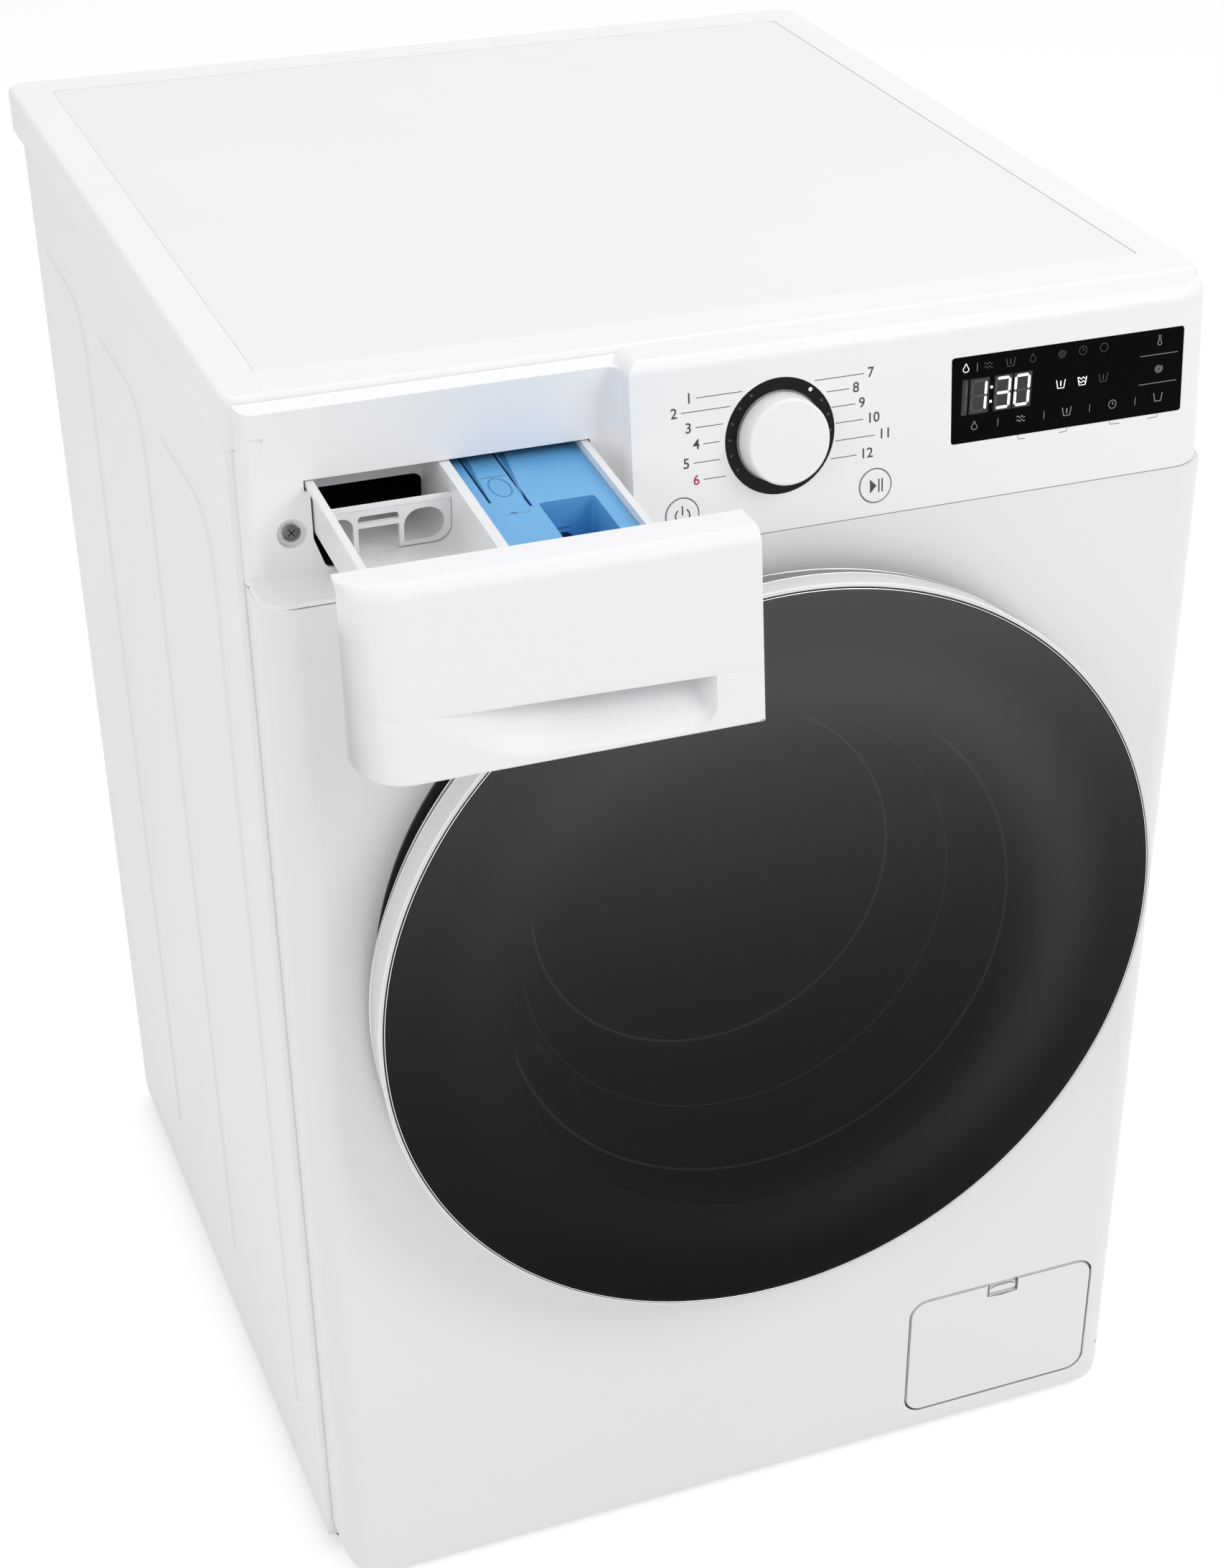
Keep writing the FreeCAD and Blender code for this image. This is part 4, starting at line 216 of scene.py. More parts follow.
def add_tone(material, low, high, size):
    """Slow colour drift between two close colours, given as steps from the base colour."""
    tree, socket = material.node_tree, principled(material)["Base Color"]
    base = np.array(socket.default_value[:3])
    feed(tree, socket, ramp(tree, noise(tree, size, 3.0), (0.3, base + low), (0.7, base + high)))


def add_drift(material, low, high, size, stretch=(1, 1, 1)):
    """Slow change of roughness between two values, as handling and moulding leave it."""
    tree = material.node_tree
    feed(tree, principled(material)["Roughness"],
         rescale(tree, noise(tree, size, 4.0, stretch), 0.3, 0.7, low, high))


def add_grain(material, size, depth, stretch=(1, 1, 1), detail=2.0):
    """Fine bump: noise with features of `size` metres, `depth` metres deep."""
    tree = material.node_tree
    bump = node(tree, "Bump", Strength=1.0, Distance=depth, Height=noise(tree, size, detail, stretch))
    feed(tree, principled(material)["Normal"], bump.outputs["Normal"])


def finish(name, colour, rough, tone=None, drift=None, grain=None, metal=0.0, specular=0.5, coat=0.0,
           coat_rough=0.1, glow=0.0):
    """A Principled material. tone, drift and grain are the values of the three helpers above."""
    material = bpy.data.materials.new(name)
    material.use_nodes = True
    plain = {"Base Color": (*colour, 1), "Roughness": rough, "Metallic": metal, "Specular IOR Level": specular,
             "Coat Weight": coat, "Coat Roughness": coat_rough, "Emission Strength": glow}
    for key, value in plain.items():
        principled(material)[key].default_value = value
    for add, values in ((add_tone, tone), (add_drift, drift), (add_grain, grain)):
        if values:
            add(material, *values)
    return material


print("shader helpers ready")

# %% [markdown]
# The big white surfaces are powder-coated steel and white ABS. They differ a little: enamel has a
# faint orange peel under a soft gloss, the plastic has a finer mould grain and is a touch warmer.

# %% White finishes
enamel = finish("white_enamel", (0.86, 0.865, 0.875), 0.38, (-0.005, 0.005, 0.25), (0.34, 0.42, 0.12),
                (0.0016, 1.2e-5), coat=0.12, coat_rough=0.2)
white_abs = finish("white_plastic", (0.915, 0.916, 0.925), 0.42, (-0.005, 0.005, 0.18), (0.38, 0.46, 0.08),
                   (0.0007, 1e-5), specular=0.45)
tray_white = finish("tray_plastic", (0.84, 0.845, 0.855), 0.34, (-0.01, 0.01, 0.05), (0.3, 0.4, 0.03),
                    (0.0009, 1.2e-5))
gloss_white = finish("gloss_white", (0.80, 0.805, 0.815), 0.18, (-0.01, 0.01, 0.1), (0.15, 0.22, 0.05),
                     coat=0.35, coat_rough=0.08)
worktop = finish("worktop_plate", (0.885, 0.888, 0.895), 0.5, (-0.007, 0.007, 0.15), (0.46, 0.56, 0.06),
                 (0.0011, 3e-5, (1, 1, 1), 3.0), specular=0.4)
print("white finishes ready")

# %% [markdown]
# Dark, metal and rubber finishes for what is seen through gaps, from behind and with the door open.

# %% Other finishes
black_gloss = finish("black_gloss", (0.006, 0.006, 0.0065), 0.16, drift=(0.13, 0.2, 0.02),
                     grain=(0.004, 4e-6), specular=0.16)
display_black = finish("display_black", (0.0022, 0.0022, 0.0024), 0.2, drift=(0.17, 0.24, 0.02),
                       grain=(0.004, 4e-6), specular=0.03)
dark_plastic = finish("dark_plastic", (0.018, 0.018, 0.020), 0.55, drift=(0.5, 0.62, 0.02),
                      grain=(0.0009, 2e-5))
grey_plastic = finish("grey_plastic", (0.27, 0.275, 0.285), 0.5, (-0.01, 0.015, 0.06), (0.45, 0.56, 0.03),
                      (0.0008, 2e-5))
tub_plastic = finish("tub_plastic", (0.52, 0.53, 0.55), 0.55, (-0.02, 0.025, 0.08), grain=(0.0012, 4e-5))
zinc = finish("zinc_steel", (0.56, 0.57, 0.58), 0.42, ((-0.03, -0.03, -0.025), 0.04, 0.014),
              (0.34, 0.5, 0.014), (0.002, 1e-5), metal=1.0)
steel = finish("bare_steel", (0.58, 0.585, 0.59), 0.32, drift=(0.26, 0.4, 0.006),
               grain=(0.0012, 1e-5, (1, 6, 1)), metal=1.0)
stainless = finish("stainless", (0.66, 0.665, 0.67), 0.2, drift=(0.14, 0.27, 0.01, (1, 0.05, 1)),
                   grain=(0.0012, 1.2e-5, (1, 0.05, 1)), metal=1.0)
cast_metal = finish("cast_metal", (0.52, 0.525, 0.53), 0.5, (-0.05, 0.05, 0.012), grain=(0.0015, 0.0001),
                    metal=1.0)
copper = finish("copper_wire", (0.55, 0.24, 0.12), 0.35, drift=(0.28, 0.45, 0.004),
                grain=(0.0012, 0.0003, (1, 8, 1)), metal=1.0)
black_rubber = finish("black_rubber", (0.016, 0.016, 0.017), 0.7, drift=(0.62, 0.8, 0.01),
                      grain=(0.0008, 5e-5))
grey_rubber = finish("grey_rubber", (0.20, 0.205, 0.21), 0.62, (-0.015, 0.02, 0.03), grain=(0.0009, 4e-5))
concrete = finish("cast_concrete", (0.34, 0.34, 0.325), 0.9, ((-0.06, -0.06, -0.055), 0.06, 0.009),
                  grain=(0.003, 0.0009, (1, 1, 1), 6.0))
board_green = finish("board_green", (0.02, 0.10, 0.045), 0.35, drift=(0.3, 0.42, 0.008),
                     grain=(0.0015, 6e-5))
blue_insert = finish("blue_insert", (0.135, 0.42, 0.76), 0.3,
                     ((-0.01, -0.015, -0.015), (0.015, 0.02, 0.02), 0.04), (0.26, 0.36, 0.02), (0.0009, 1e-5))
clear_glass = finish("bowl_glass", (0.93, 0.96, 0.96), 0.03, grain=(0.05, 5e-5))
principled(clear_glass)["Transmission Weight"].default_value = 1.0
principled(clear_glass)["IOR"].default_value = 1.46
print("other finishes ready")

# %% [markdown]
# ## Finishes on the CAD pieces
# The pieces that stay as the CAD made them get their finish here. Their meshes are not touched.

# %% CAD pieces
dress = {
    enamel: "side_panel_left side_panel_right front_panel filter_cover filter_latch",
    zinc: "rear_panel rear_cover top_rails motor_rotor",
    steel: "cross_screws foot_bolts hinge_bracket hinge_leaf drum_shaft drum_bearings suspension_springs "
           "dampers",
    stainless: "drum_shell hinge_pin heater",
    white_abs: "control_panel program_knob power_button start_button drawer_front top_frame inlet_valve "
               "pump_impeller",
    tray_white: "drawer_tray powder_flap",
    worktop: "top_plate",
    gloss_white: "door_ring",
    black_gloss: "knob_ring door_cover_glass",
    display_black: "display_window",
    dark_plastic: "door_lock dispenser_housing drain_pump cord_gland door_frame",
    grey_plastic: "transport_plugs base_pan latch_hook pump_filter drum_lifters drain_spigot",
    tub_plastic: "tub_front tub_rear",
    cast_metal: "drum_spider",
    copper: "motor_stator",
    black_rubber: "foot_pads dispenser_hose fill_hose sump_hose",
    grey_rubber: "gasket drain_hose",
    concrete: "counterweights",
    board_green: "control_board",
    clear_glass: "door_bowl",
    blue_insert: "softener_insert",
}
for material, names in dress.items():
    for name in names.split():
        nodes[name].data.materials.clear()
        nodes[name].data.materials.append(material)
print("pieces without a finish:", [name for name, piece in nodes.items() if not piece.data.materials])

# %% [markdown]
# ## Making a mesh from arrays
# Every new piece is worked out as whole arrays of points: a grid of rows and columns, a profile
# turned about the door's axis, or thin printed strokes. These helpers put such arrays into a
# closed mesh, in metres, with soft shading except at real edges.

# %% Mesh helpers
def quads(rows, columns):
    """Faces of a grid whose rows are closed rings: each joins a point to its neighbours in the next
    column and row."""
    index = np.arange(rows * columns).reshape(rows, columns)
    index = np.column_stack([index, index[:, :1]])
    corners = [index[:-1, :-1], index[:-1, 1:], index[1:, 1:], index[1:, :-1]]
    return np.stack(corners, -1).reshape(-1, 4).tolist()


def capped(rows, columns):
    """Faces of a tube of `rows` rings, with a flat face over its first and its last ring."""
    last = (rows - 1) * columns
    return quads(rows, columns) + [list(range(columns)), list(range(last, last + columns))]


def build(name, points, faces, material, body, crease=35):
    """A piece from points in millimetres; edges sharper than `crease` degrees stay crisp."""
    mesh = bpy.data.meshes.new(name)
    mesh.from_pydata(place(points).tolist(), [], faces)
    shape = bmesh.new()
    shape.from_mesh(mesh)
    bmesh.ops.remove_doubles(shape, verts=shape.verts, dist=1e-7)
    bmesh.ops.recalc_face_normals(shape, faces=shape.faces)
    shape.to_mesh(mesh)
    shape.free()
    mesh.shade_smooth()
    mesh.set_sharp_from_angle(angle=math.radians(crease))
    piece = bpy.data.objects.new(name, mesh)
    scene.collection.objects.link(piece)
    mesh.materials.append(material)
    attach(piece, body)
    return piece


def turned(name, profile, material, body, steps=240, crease=35, x=0.0, z=door_z * 1000):
    """A profile of (radius, depth) turned about a level axis through (x, z). The profile is one list,
    or an array with its own list for each of the steps, where the shape changes on the way round."""
    profile = np.asarray(profile, float)
    angle = np.linspace(0, math.tau, steps, endpoint=False)[:, None]
    radius, depth = profile[..., 0] + 0 * angle, profile[..., 1] + 0 * angle
    points = np.stack([x + np.cos(angle) * radius, depth, z + np.sin(angle) * radius], -1)
    rows = np.concatenate([points, points[:1]]).reshape(-1, 3)
    return build(name, rows, quads(steps + 1, radius.shape[1]), material, body, crease)


def bead(radius, depth, wide, tall):
    """Profile of a fine bead: eight (radius, depth) corners round an ellipse."""
    return [(radius + wide * math.cos(a), depth + tall * math.sin(a))
            for a in np.linspace(0, math.tau, 9)[:-1]]


print("mesh helpers ready")

# %% [markdown]
# ## Door glass
# The door's face is one round sheet of tinted glass with a printed border. The border is opaque; the
# middle lets the bowl show faintly. A reflection is painted into the sheet's colour: the tone climbs
# smoothly from near black at the foot to charcoal at the head, with a painted sheen, a paler band,
# where the sheet dips over the edge of the bowl. Both are functions of height and of radius, so the
# material works them out from Object coordinates: height picks a colour on a ramp, radius picks the
# strength of the band.

# %% Tinted glass with a painted reflection
glass_radius = (door_high.x - door_low.x) / 2
bowl_low, bowl_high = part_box("door_bowl")
window_radius = (bowl_high.x - bowl_low.x) / 2 - 0.003
dip_at = 0.78  # where the sheet dips, as a share of its radius


def tinted_with_painted_reflection(name, alpha):
    """Dark glass with a painted reflection: colour from height, plus a painted sheen band over the sheet's dip,
    stronger at the upper right.
    The colour is divided by alpha, so that the see-through middle is no darker than the border."""
    glass = finish(name, (0.03, 0.03, 0.032), 0.09, specular=0.06)
    principled(glass)["Alpha"].default_value = alpha
    tree = glass.node_tree
    centred = vector(tree, "SUBTRACT", object_coords(tree), (0, 0, door_z))
    share = vector(tree, "MULTIPLY", centred, (1 / glass_radius, 0, 1 / glass_radius))
    height = rescale(tree, node(tree, "SeparateXYZ", share).outputs["Z"], -1, 1)
    # painted reflection: the colour climbs from near black at the foot to charcoal at the head
    tone = ramp(tree, height, (0.0, 0.0015), (0.2, 0.0065), (0.5, 0.0135), (0.75, 0.038), (1.0, 0.090),
                curve="B_SPLINE")
    reach = vector(tree, "LENGTH", share)
    # painted sheen: a paler band over the sheet's dip, scaled up towards the upper right and added to the
    # colour
    sheen_band = ramp(tree, reach, (0.60, 0.0), (dip_at, 1.0), (0.92, 0.12), curve="EASE")
    lean = vector(tree, "DOT_PRODUCT", share, (0.85, 0, 0.53))
    glow = vector(tree, "SCALE", sheen_band, Scale=rescale(tree, lean, -0.75, 0.75, 0.003, 0.020))
    total = vector(tree, "ADD", tone, glow)
    even = vector(tree, "MULTIPLY", total, (0.98 / alpha, 0.98 / alpha, 1.04 / alpha))
    feed(tree, principled(glass)["Base Color"], even)
    return glass


printed_glass, window_glass = tinted_with_painted_reflection("printed_glass", 1.0), tinted_with_painted_reflection("window_glass", 0.80)
print(f"glass radius {glass_radius:.4f} m, window radius {window_radius:.4f} m")


# %% The glass sheet
def sheet_profile(radius, front, thick, edge):
    """(radius, depth): from the middle out with a 0.8 mm dip, round the edge, and back."""
    out = np.linspace(0, radius - edge, 90)
    dip = 0.8 * np.exp(-((out / radius - dip_at) / 0.07) ** 2)
    turn = np.linspace(0, math.pi / 2, 7)[1:]
    nose = np.column_stack([radius - edge + edge * np.sin(turn), front + edge - edge * np.cos(turn)])
    back = [(radius, front + thick), (window_radius * 1000, front + thick), (0, front + thick)]
    return np.concatenate([np.column_stack([out, front + dip]), nose, back])


rim = glass_radius * 1000
glass_front = (door_low.y - front_y) * 1000
sheet = turned("door_glass", sheet_profile(rim, glass_front, 3.6, 1.6), printed_glass,
               "door", steps=256)
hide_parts("door_cover_glass")
sheet.data.materials.append(window_glass)
middles = np.zeros(len(sheet.data.polygons) * 3)
sheet.data.polygons.foreach_get("center", middles)
middles = middles.reshape(-1, 3)
inside = np.hypot(middles[:, 0], middles[:, 2] - door_z) < window_radius
sheet.data.polygons.foreach_set("material_index", inside.astype(int))
print(inside.sum(), "faces of the sheet are window")

# %% [markdown]
# ## Door rim
# The white ring round the glass is a deep tapering wall with a narrow flat front. From the glass
# outwards come a bright hairline, a dark groove, the flat, a crisp polished shoulder, the wall, and
# at the back a strip of dull metal between two fine beads. The shoulder is painted a lighter white
# than the wall as its highlight. Round the upper left the wall stops short of the cabinet and leaves
# a gap, and behind it sits a dark crescent, painted shade where the gap lies in shadow. Every one of
# these is a lathe profile; some of them change on the way round.

# %% Shape of the rim
chrome = finish("bright_trim", (0.86, 0.865, 0.87), 0.14, drift=(0.1, 0.2, 0.01), metal=1.0)
dull_metal = finish("dull_strip", (0.36, 0.37, 0.38), 0.3, drift=(0.24, 0.38, 0.004),
                    grain=(0.0012, 8e-6), metal=1.0)
# painted highlight: the shoulder is a lighter white than the rim, along with its higher polish
shoulder_highlight = finish("shoulder_highlight", (0.93, 0.93, 0.935), 0.12, drift=(0.1, 0.16, 0.01),
                        coat=0.5, coat_rough=0.05)
rim_steps = 360
degrees = np.arange(rim_steps) * 360 / rim_steps


def around(*points):
    """A value for every step round the rim: straight lines between (degrees, value) points, then
    a running mean over 9 degrees to take the corners off."""
    at, value = np.array(points, float).T
    line = np.interp(degrees, at, value, period=360)
    return np.stack([np.roll(line, shift) for shift in range(-4, 5)]).mean(0)[:, None]


def wall(depth):
    """Radius of the rim's outer wall at a depth: 259.1 at the front, 4.7 less at the back."""
    return 259.1 - (depth + 40.1) * 4.7 / 35.2


def section(*corners):
    """One profile for every step from (radius, depth) corners, each a number or a column of numbers."""
    zero = np.zeros((rim_steps, 1))
    return np.stack([np.concatenate([zero + corner[part] for corner in corners], 1) for part in (0, 1)], -1)


back = around((52, -4.2), (64, -12), (160, -12), (176, -4.2))
strip = around((30, 3), (60, 6), (78, 8), (100, 15), (120, 10), (140, 6), (160, 4), (176, 2.5), (330, 2.5))
edge = back - strip
print("rim wall from depth", back.min(), "to", back.max(), "mm")

# %% Rim, strip, beads and groove
rim_ring = turned("door_rim", section(
    (254.4, -35.0), (wall(back) - 2.2, back), (wall(back) - 0.6, back), (wall(edge) - 0.6, edge),
    (wall(edge), edge), (259.0, -39.4), (258.9, -40.6), (258.0, -41.35), (257.0, -41.5), (256.8, -41.2),
    (256.8, -38.4), (248.8, -37.6), (248.8, -35.0)), gloss_white, "door", rim_steps)
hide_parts("door_ring")
# the shoulder's lighter white is a painted highlight
turned("rim_shoulder", section((259.05, -39.5), (259.2, -40.05), (259.05, -40.7), (258.6, -41.1),
                               (258.6, -40.3)), shoulder_highlight, "door", rim_steps, crease=70)
turned("rim_strip", section((wall(back) - 0.6, back), (wall(back) - 0.12, back), (wall(edge) - 0.12, edge),
                            (wall(edge) - 0.6, edge)), dull_metal, "door", rim_steps)
for name, spot in (("rim_bead_back", back - 0.3), ("rim_bead_front", edge + 0.3)):
    turned(name, section(*bead(wall(spot), spot, 0.2, 0.3)), chrome, "door", rim_steps, crease=70)
groove = [(rim + out, glass_front + deep)
          for out, deep in ((0.65, 1.2), (1.48, 1.2), (1.48, 3.1), (0.65, 3.1))]
turned("rim_groove", groove, dark_plastic, "door", rim_steps)
crown = [(rim + 0.08 + 0.26 * (1 + math.cos(a)), glass_front + 0.3 - 0.3 * math.sin(a))
         for a in np.linspace(0, math.pi, 9)]
turned("glass_trim", crown + [(rim + 0.08, glass_front + 2.6), (rim + 0.6, glass_front + 2.6)], chrome,
       "door", rim_steps)
print("rim drawn, wall", round(wall(-40.1) - wall(-4.9), 1), "mm narrower at the back")

# %% Dark crescent of painted shade
# painted shade: a dark sheet behind the gap, its width following the shadow round the upper left
gap = slice(92, 169)  # degrees that the gap behind the wall spans
outside = around((90, 247.0), (108, 253.0), (130, 256.8), (150, 255.6), (166, 252.4), (180, 247.0))[gap]
angle, inner = np.radians(degrees[gap])[:, None], 246.6 + 0 * outside
radius = np.concatenate([inner, outside, outside, inner], 1)
depth = np.array([-2.6, -2.6, -0.7, -0.7]) + 0 * radius
shade_crescent = np.stack([np.cos(angle) * radius, depth, door_z * 1000 + np.sin(angle) * radius], -1)
build("rim_shade_crescent", shade_crescent.reshape(-1, 3), capped(len(shade_crescent), 4), dark_plastic, "door")
print("crescent over", len(shade_crescent) - 1, "degrees")

# %% [markdown]
# Three fine pale lines lie on the bowl behind the window: on its flange, on its wall and on the knee
# of the wall. They glow a little, as painted highlights on the bowl's edges; they are what shows of
# the bowl through the dark sheet.

# %% Glowing lines on the bowl, painted highlights
# painted highlight: the lines glow so that they read as light caught on the bowl's edges
painted_glint = finish("painted_glint", (0.8, 0.8, 0.81), 0.3, (-0.02, 0.02, 0.01), glow=0.28)
for name, radius, depth, wide in (("flange_glint", 171.0, -10.0, 0.9), ("knee_glint", 124.5, 74.5, 1.0),
                                  ("wall_glint", 147.5, 30.0, 0.35)):
    turned(name, bead(radius, depth, wide, 0.4), painted_glint, "door", crease=70)
print("lines at 171, 147.5 and 124.5 mm")

# %% [markdown]
# ## Drawer front
# The drawer's face is one moulding: it leans back with the control panel, has a big round at
# its left end and a soft one along the top, and a finger scoop that melts into the face below a
# crisp upper lip. A grid does this well: columns run along the drawer, rows go once round its
# section, and the scoop is a depth added to the rows of the face. Shade is painted into the plastic's
# colour: it darkens with the distance behind the face's plane, which draws the scoop and the round.

# %% Drawer places
slide = next(joint for joint in frame["joints"] if joint["name"] == "drawer_slide")
pulled = -np.array(slide["axis"]) * 194.5  # millimetres that the drawer stands out at rest
tilt = math.radians(5.8)
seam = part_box("control_panel")[0].z * 1000 - 0.3  # joint under the control panel
drawer_box = [(np.array(corner) - (0, front_y, 0)) * 1000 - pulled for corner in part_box("drawer_front")]
(drawer_left, drawer_front, drawer_foot), (drawer_right, back_top, drawer_head) = drawer_box
back_low, back_foot = back_top - 7.7, drawer_foot + 6.4
round_left, round_top, round_foot, round_right = 28.0, 8.0, 1.5, 0.8
print("drawer front", round(drawer_right - drawer_left, 1), "x", round(drawer_head - drawer_foot, 1), "mm")


# %% The scoop and the rounds
def scoop_lip(x):
    """Height of the scoop's straight upper lip above the joint: a line that falls 4 mm to the right."""
    return 38.0 - 0.026 * (x - drawer_left - 30)


def scoop_tall(x):
    """Height of the scoop: a quarter sine wave from nothing at its left tip to 28 mm."""
    share = np.clip((x - drawer_left - 28.5) / 60, 0, 1)
    return 28 * np.sin(share * math.pi / 2) ** 1.2


def scoop_depth(x, up):
    """Depth at share `up` of its height: a sine ramp, faded in from the left, walled by an arc at the right."""
    grow = np.clip((x - drawer_left - 30) / 95, 0, 1)
    height = scoop_lip(x) - (1 - up) * scoop_tall(x)
    corner = 12 * (1 - np.sqrt(1 - np.clip((20 - height) / 12, 0, 1) ** 2))
    near = np.clip((drawer_right - 26.4 - corner - x) / 7, 0, 1)
    wall = np.sqrt(1 - (1 - near) ** 2)
    return 18 * grow ** 2 * (3 - 2 * grow) * np.sin(up ** 0.9 * math.pi / 2) ** 1.35 * wall


def end_rounds(x):
    """How far the rounds set the face back: a big quarter circle at the left, a fine one at the right."""
    left = np.clip(round_left - (x - drawer_left), 0, round_left)
    right = np.clip(round_right - (drawer_right - x), 0, round_right)
    return (round_left - np.sqrt(round_left ** 2 - left ** 2)
            + round_right - np.sqrt(np.maximum(round_right ** 2 - right ** 2, 0)))


print("scoop 28 mm tall and 18 mm deep")


# %% The drawer front's grid
def drawer_front_grid():
    """Columns along the drawer; rows up the face, over the top, and down the back.
    Face depth = lean + scoop depth + rounds, the rounds squeezed to the room in front of the back."""
    arc = np.linspace(0, math.pi / 2, 20)
    turn = np.linspace(0, math.pi / 2, 5)
    over = np.linspace(0, math.pi / 2, 12)[1:]
    up = np.linspace(0, 1, 45)
    x = np.concatenate([drawer_left + round_left * (1 - np.cos(arc)),
                        np.arange(drawer_left + round_left + 1.2, drawer_right - 36, 1.2),
                        np.linspace(drawer_right - 36, drawer_right - 26, 30),
                        np.linspace(drawer_right - 25, drawer_right - 1, 10),
                        drawer_right - round_right * (1 - np.sin(turn))])[:, None]
    lip, tall = seam + scoop_lip(x), scoop_tall(x)
    foot_z = drawer_foot + round_foot * (1 - np.cos(turn)) + 0 * x
    low_z = drawer_foot + round_foot + (lip - tall - drawer_foot - round_foot) * np.linspace(0, 1, 9)[1:-1]
    scoop_z = lip - (1 - up) * tall
    brow_z = lip + np.array([0.25, 0.6])
    high_z = lip + 0.6 + (drawer_head - round_top - lip - 0.6) * np.linspace(0, 1, 14)[1:]
    top_z = drawer_head - round_top + round_top * np.sin(over) + 0 * x
    z = np.concatenate([foot_z, low_z, scoop_z, brow_z, high_z, top_z], 1)
    inset = np.concatenate([round_foot * (1 - np.sin(turn)) + 0 * x, 0 * low_z, scoop_depth(x, up),
                            np.array([0.1, 0.0]) + 0 * x, 0 * high_z,
                            round_top * (1 - np.cos(over)) + 0 * x], 1)
    lean = (z - seam) * math.tan(tilt)
    room = back_low - 0.6 - lean - inset
    y = lean + inset + np.minimum(end_rounds(x) * np.clip(room / round_left, 0, 1), room)
    y = np.maximum(y, drawer_front)
    z = np.maximum(z, drawer_foot + (back_foot - drawer_foot) * (y - 1.5) / (back_low - 1.5))
    heel = 7 - np.sqrt(49 - np.clip(x - (drawer_right - 7), 0, 7) ** 2)
    back_y = np.concatenate([back_top + 0 * x, back_top + 0 * x, back_low - heel, back_low - heel], 1)
    back_z = np.array([drawer_head, drawer_head - 1.3, drawer_head - 5.2, back_foot]) + 0 * back_y
    y, z = np.concatenate([y, back_y], 1), np.concatenate([z, back_z], 1)
    return np.stack([x + 0 * y, y, z], -1)


grid = drawer_front_grid()
columns, rows = grid.shape[:2]
print("drawer front:", columns, "columns,", rows, "rows")

# %% The drawer's plastic, with painted shade
drawer_shaded_white = finish("drawer_shaded_white", (0.91, 0.912, 0.925), 0.42, drift=(0.38, 0.46, 0.08),
                      grain=(0.0007, 1e-5), specular=0.45)
tree = drawer_shaded_white.node_tree
# painted shade: the colour darkens from 4 to 20 mm behind the face's plane, in the scoop and the round
from_seam = vector(tree, "SUBTRACT", object_coords(tree), place(np.array([0, 0, seam]) + pulled).tolist())
inward = vector(tree, "DOT_PRODUCT", from_seam, (0, math.cos(tilt), -math.sin(tilt)))
upward = vector(tree, "DOT_PRODUCT", from_seam, (0, math.sin(tilt), math.cos(tilt)))
shade_share = node(tree, "Math", rescale(tree, inward, 0.004, 0.020), rescale(tree, upward, 0.080, 0.094, 1, 0),
            operation="MULTIPLY")
painted_shade_tone = ramp(tree, shade_share.outputs[0], (0.0, (0.905, 0.906, 0.92)), (0.5, (0.77, 0.773, 0.79)),
              (1.0, (0.58, 0.583, 0.60)))
feed(tree, principled(drawer_shaded_white)["Base Color"], painted_shade_tone)
face = build("drawer_face", grid.reshape(-1, 3) + pulled, capped(columns, rows), drawer_shaded_white,
             "drawer", crease=30)
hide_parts("drawer_front")
print("tone deepens from 4 to 20 mm behind the face")

# %% [markdown]
# ## Printing on the panel
# The printing is a tenth of a millimetre of ink: strokes and figures made as thin closed prisms that
# follow the leaning face. `on_panel` takes flat panel coordinates (across, and up from the joint)
# to the machine. The program labels are plain numbers, because the part carries no wording.

# %% From flat to panel
def on_panel(flat, lift):
    """Flat (across, up) points to the leaning panel: up the slope, then out along its normal by lift."""
    across, up = flat[..., 0], flat[..., 1]
    return np.stack([across, up * math.sin(tilt) - lift * math.cos(tilt),
                     seam + up * math.cos(tilt) + lift * math.sin(tilt)], -1)


def node_lift(name):
    """How far a CAD piece's outermost corner stands out from the panel's plane, in millimetres."""
    data = nodes[name].data
    corners = np.zeros(len(data.vertices) * 3)
    data.vertices.foreach_get("co", corners)
    corners = (corners.reshape(-1, 3) - np.array([0, front_y, seam / 1000])) * 1000
    return float((-corners[:, 1] * math.cos(tilt) + corners[:, 2] * math.sin(tilt)).max())


window_lift, ring_lift = node_lift("display_window"), node_lift("knob_ring")
power_lift, start_lift = node_lift("power_button"), node_lift("start_button")
print("window, ring and button stand out", round(window_lift, 2), round(ring_lift, 2), round(power_lift, 2))


# %% Ink strokes
ink_foot, ink_top = -0.05, 0.06  # heights of the ink's bottom and top


def stroke(path, width, lift, lay=on_panel):
    """One line of ink: the path is offset half a width to each side along its normal, and given a
    bottom just under the surface and a top just over it; `lay` takes it to its surface. Returns
    its points and faces."""
    path = np.asarray(path, float)
    along = np.gradient(path, axis=0)
    along /= np.linalg.norm(along, axis=1, keepdims=True)
    aside = np.column_stack([-along[:, 1], along[:, 0]]) * width / 2
    ring = ((aside, ink_foot), (-aside, ink_foot), (-aside, ink_top), (aside, ink_top))
    points = np.stack([lay(path + side, lift + height) for side, height in ring], 1)
    return points.reshape(-1, 3), capped(len(path), 4)


def patch(outline, lift, lay=on_panel):
    """A filled spot of ink with any flat outline: a thin prism."""
    outline = np.asarray(outline, float)
    points = np.concatenate([lay(outline, lift + ink_foot), lay(outline, lift + ink_top)])
    return points, capped(2, len(outline))


def printed(name, shapes, material, body="cabinet"):
    """Joins strokes and patches, and puts them in one mesh."""
    starts = np.cumsum([0] + [len(points) for points, _ in shapes])
    faces = [[start + corner for corner in face] for start, (_, more) in zip(starts.tolist(), shapes)
             for face in more]
    build(name, np.concatenate([points for points, _ in shapes]), faces, material, body)


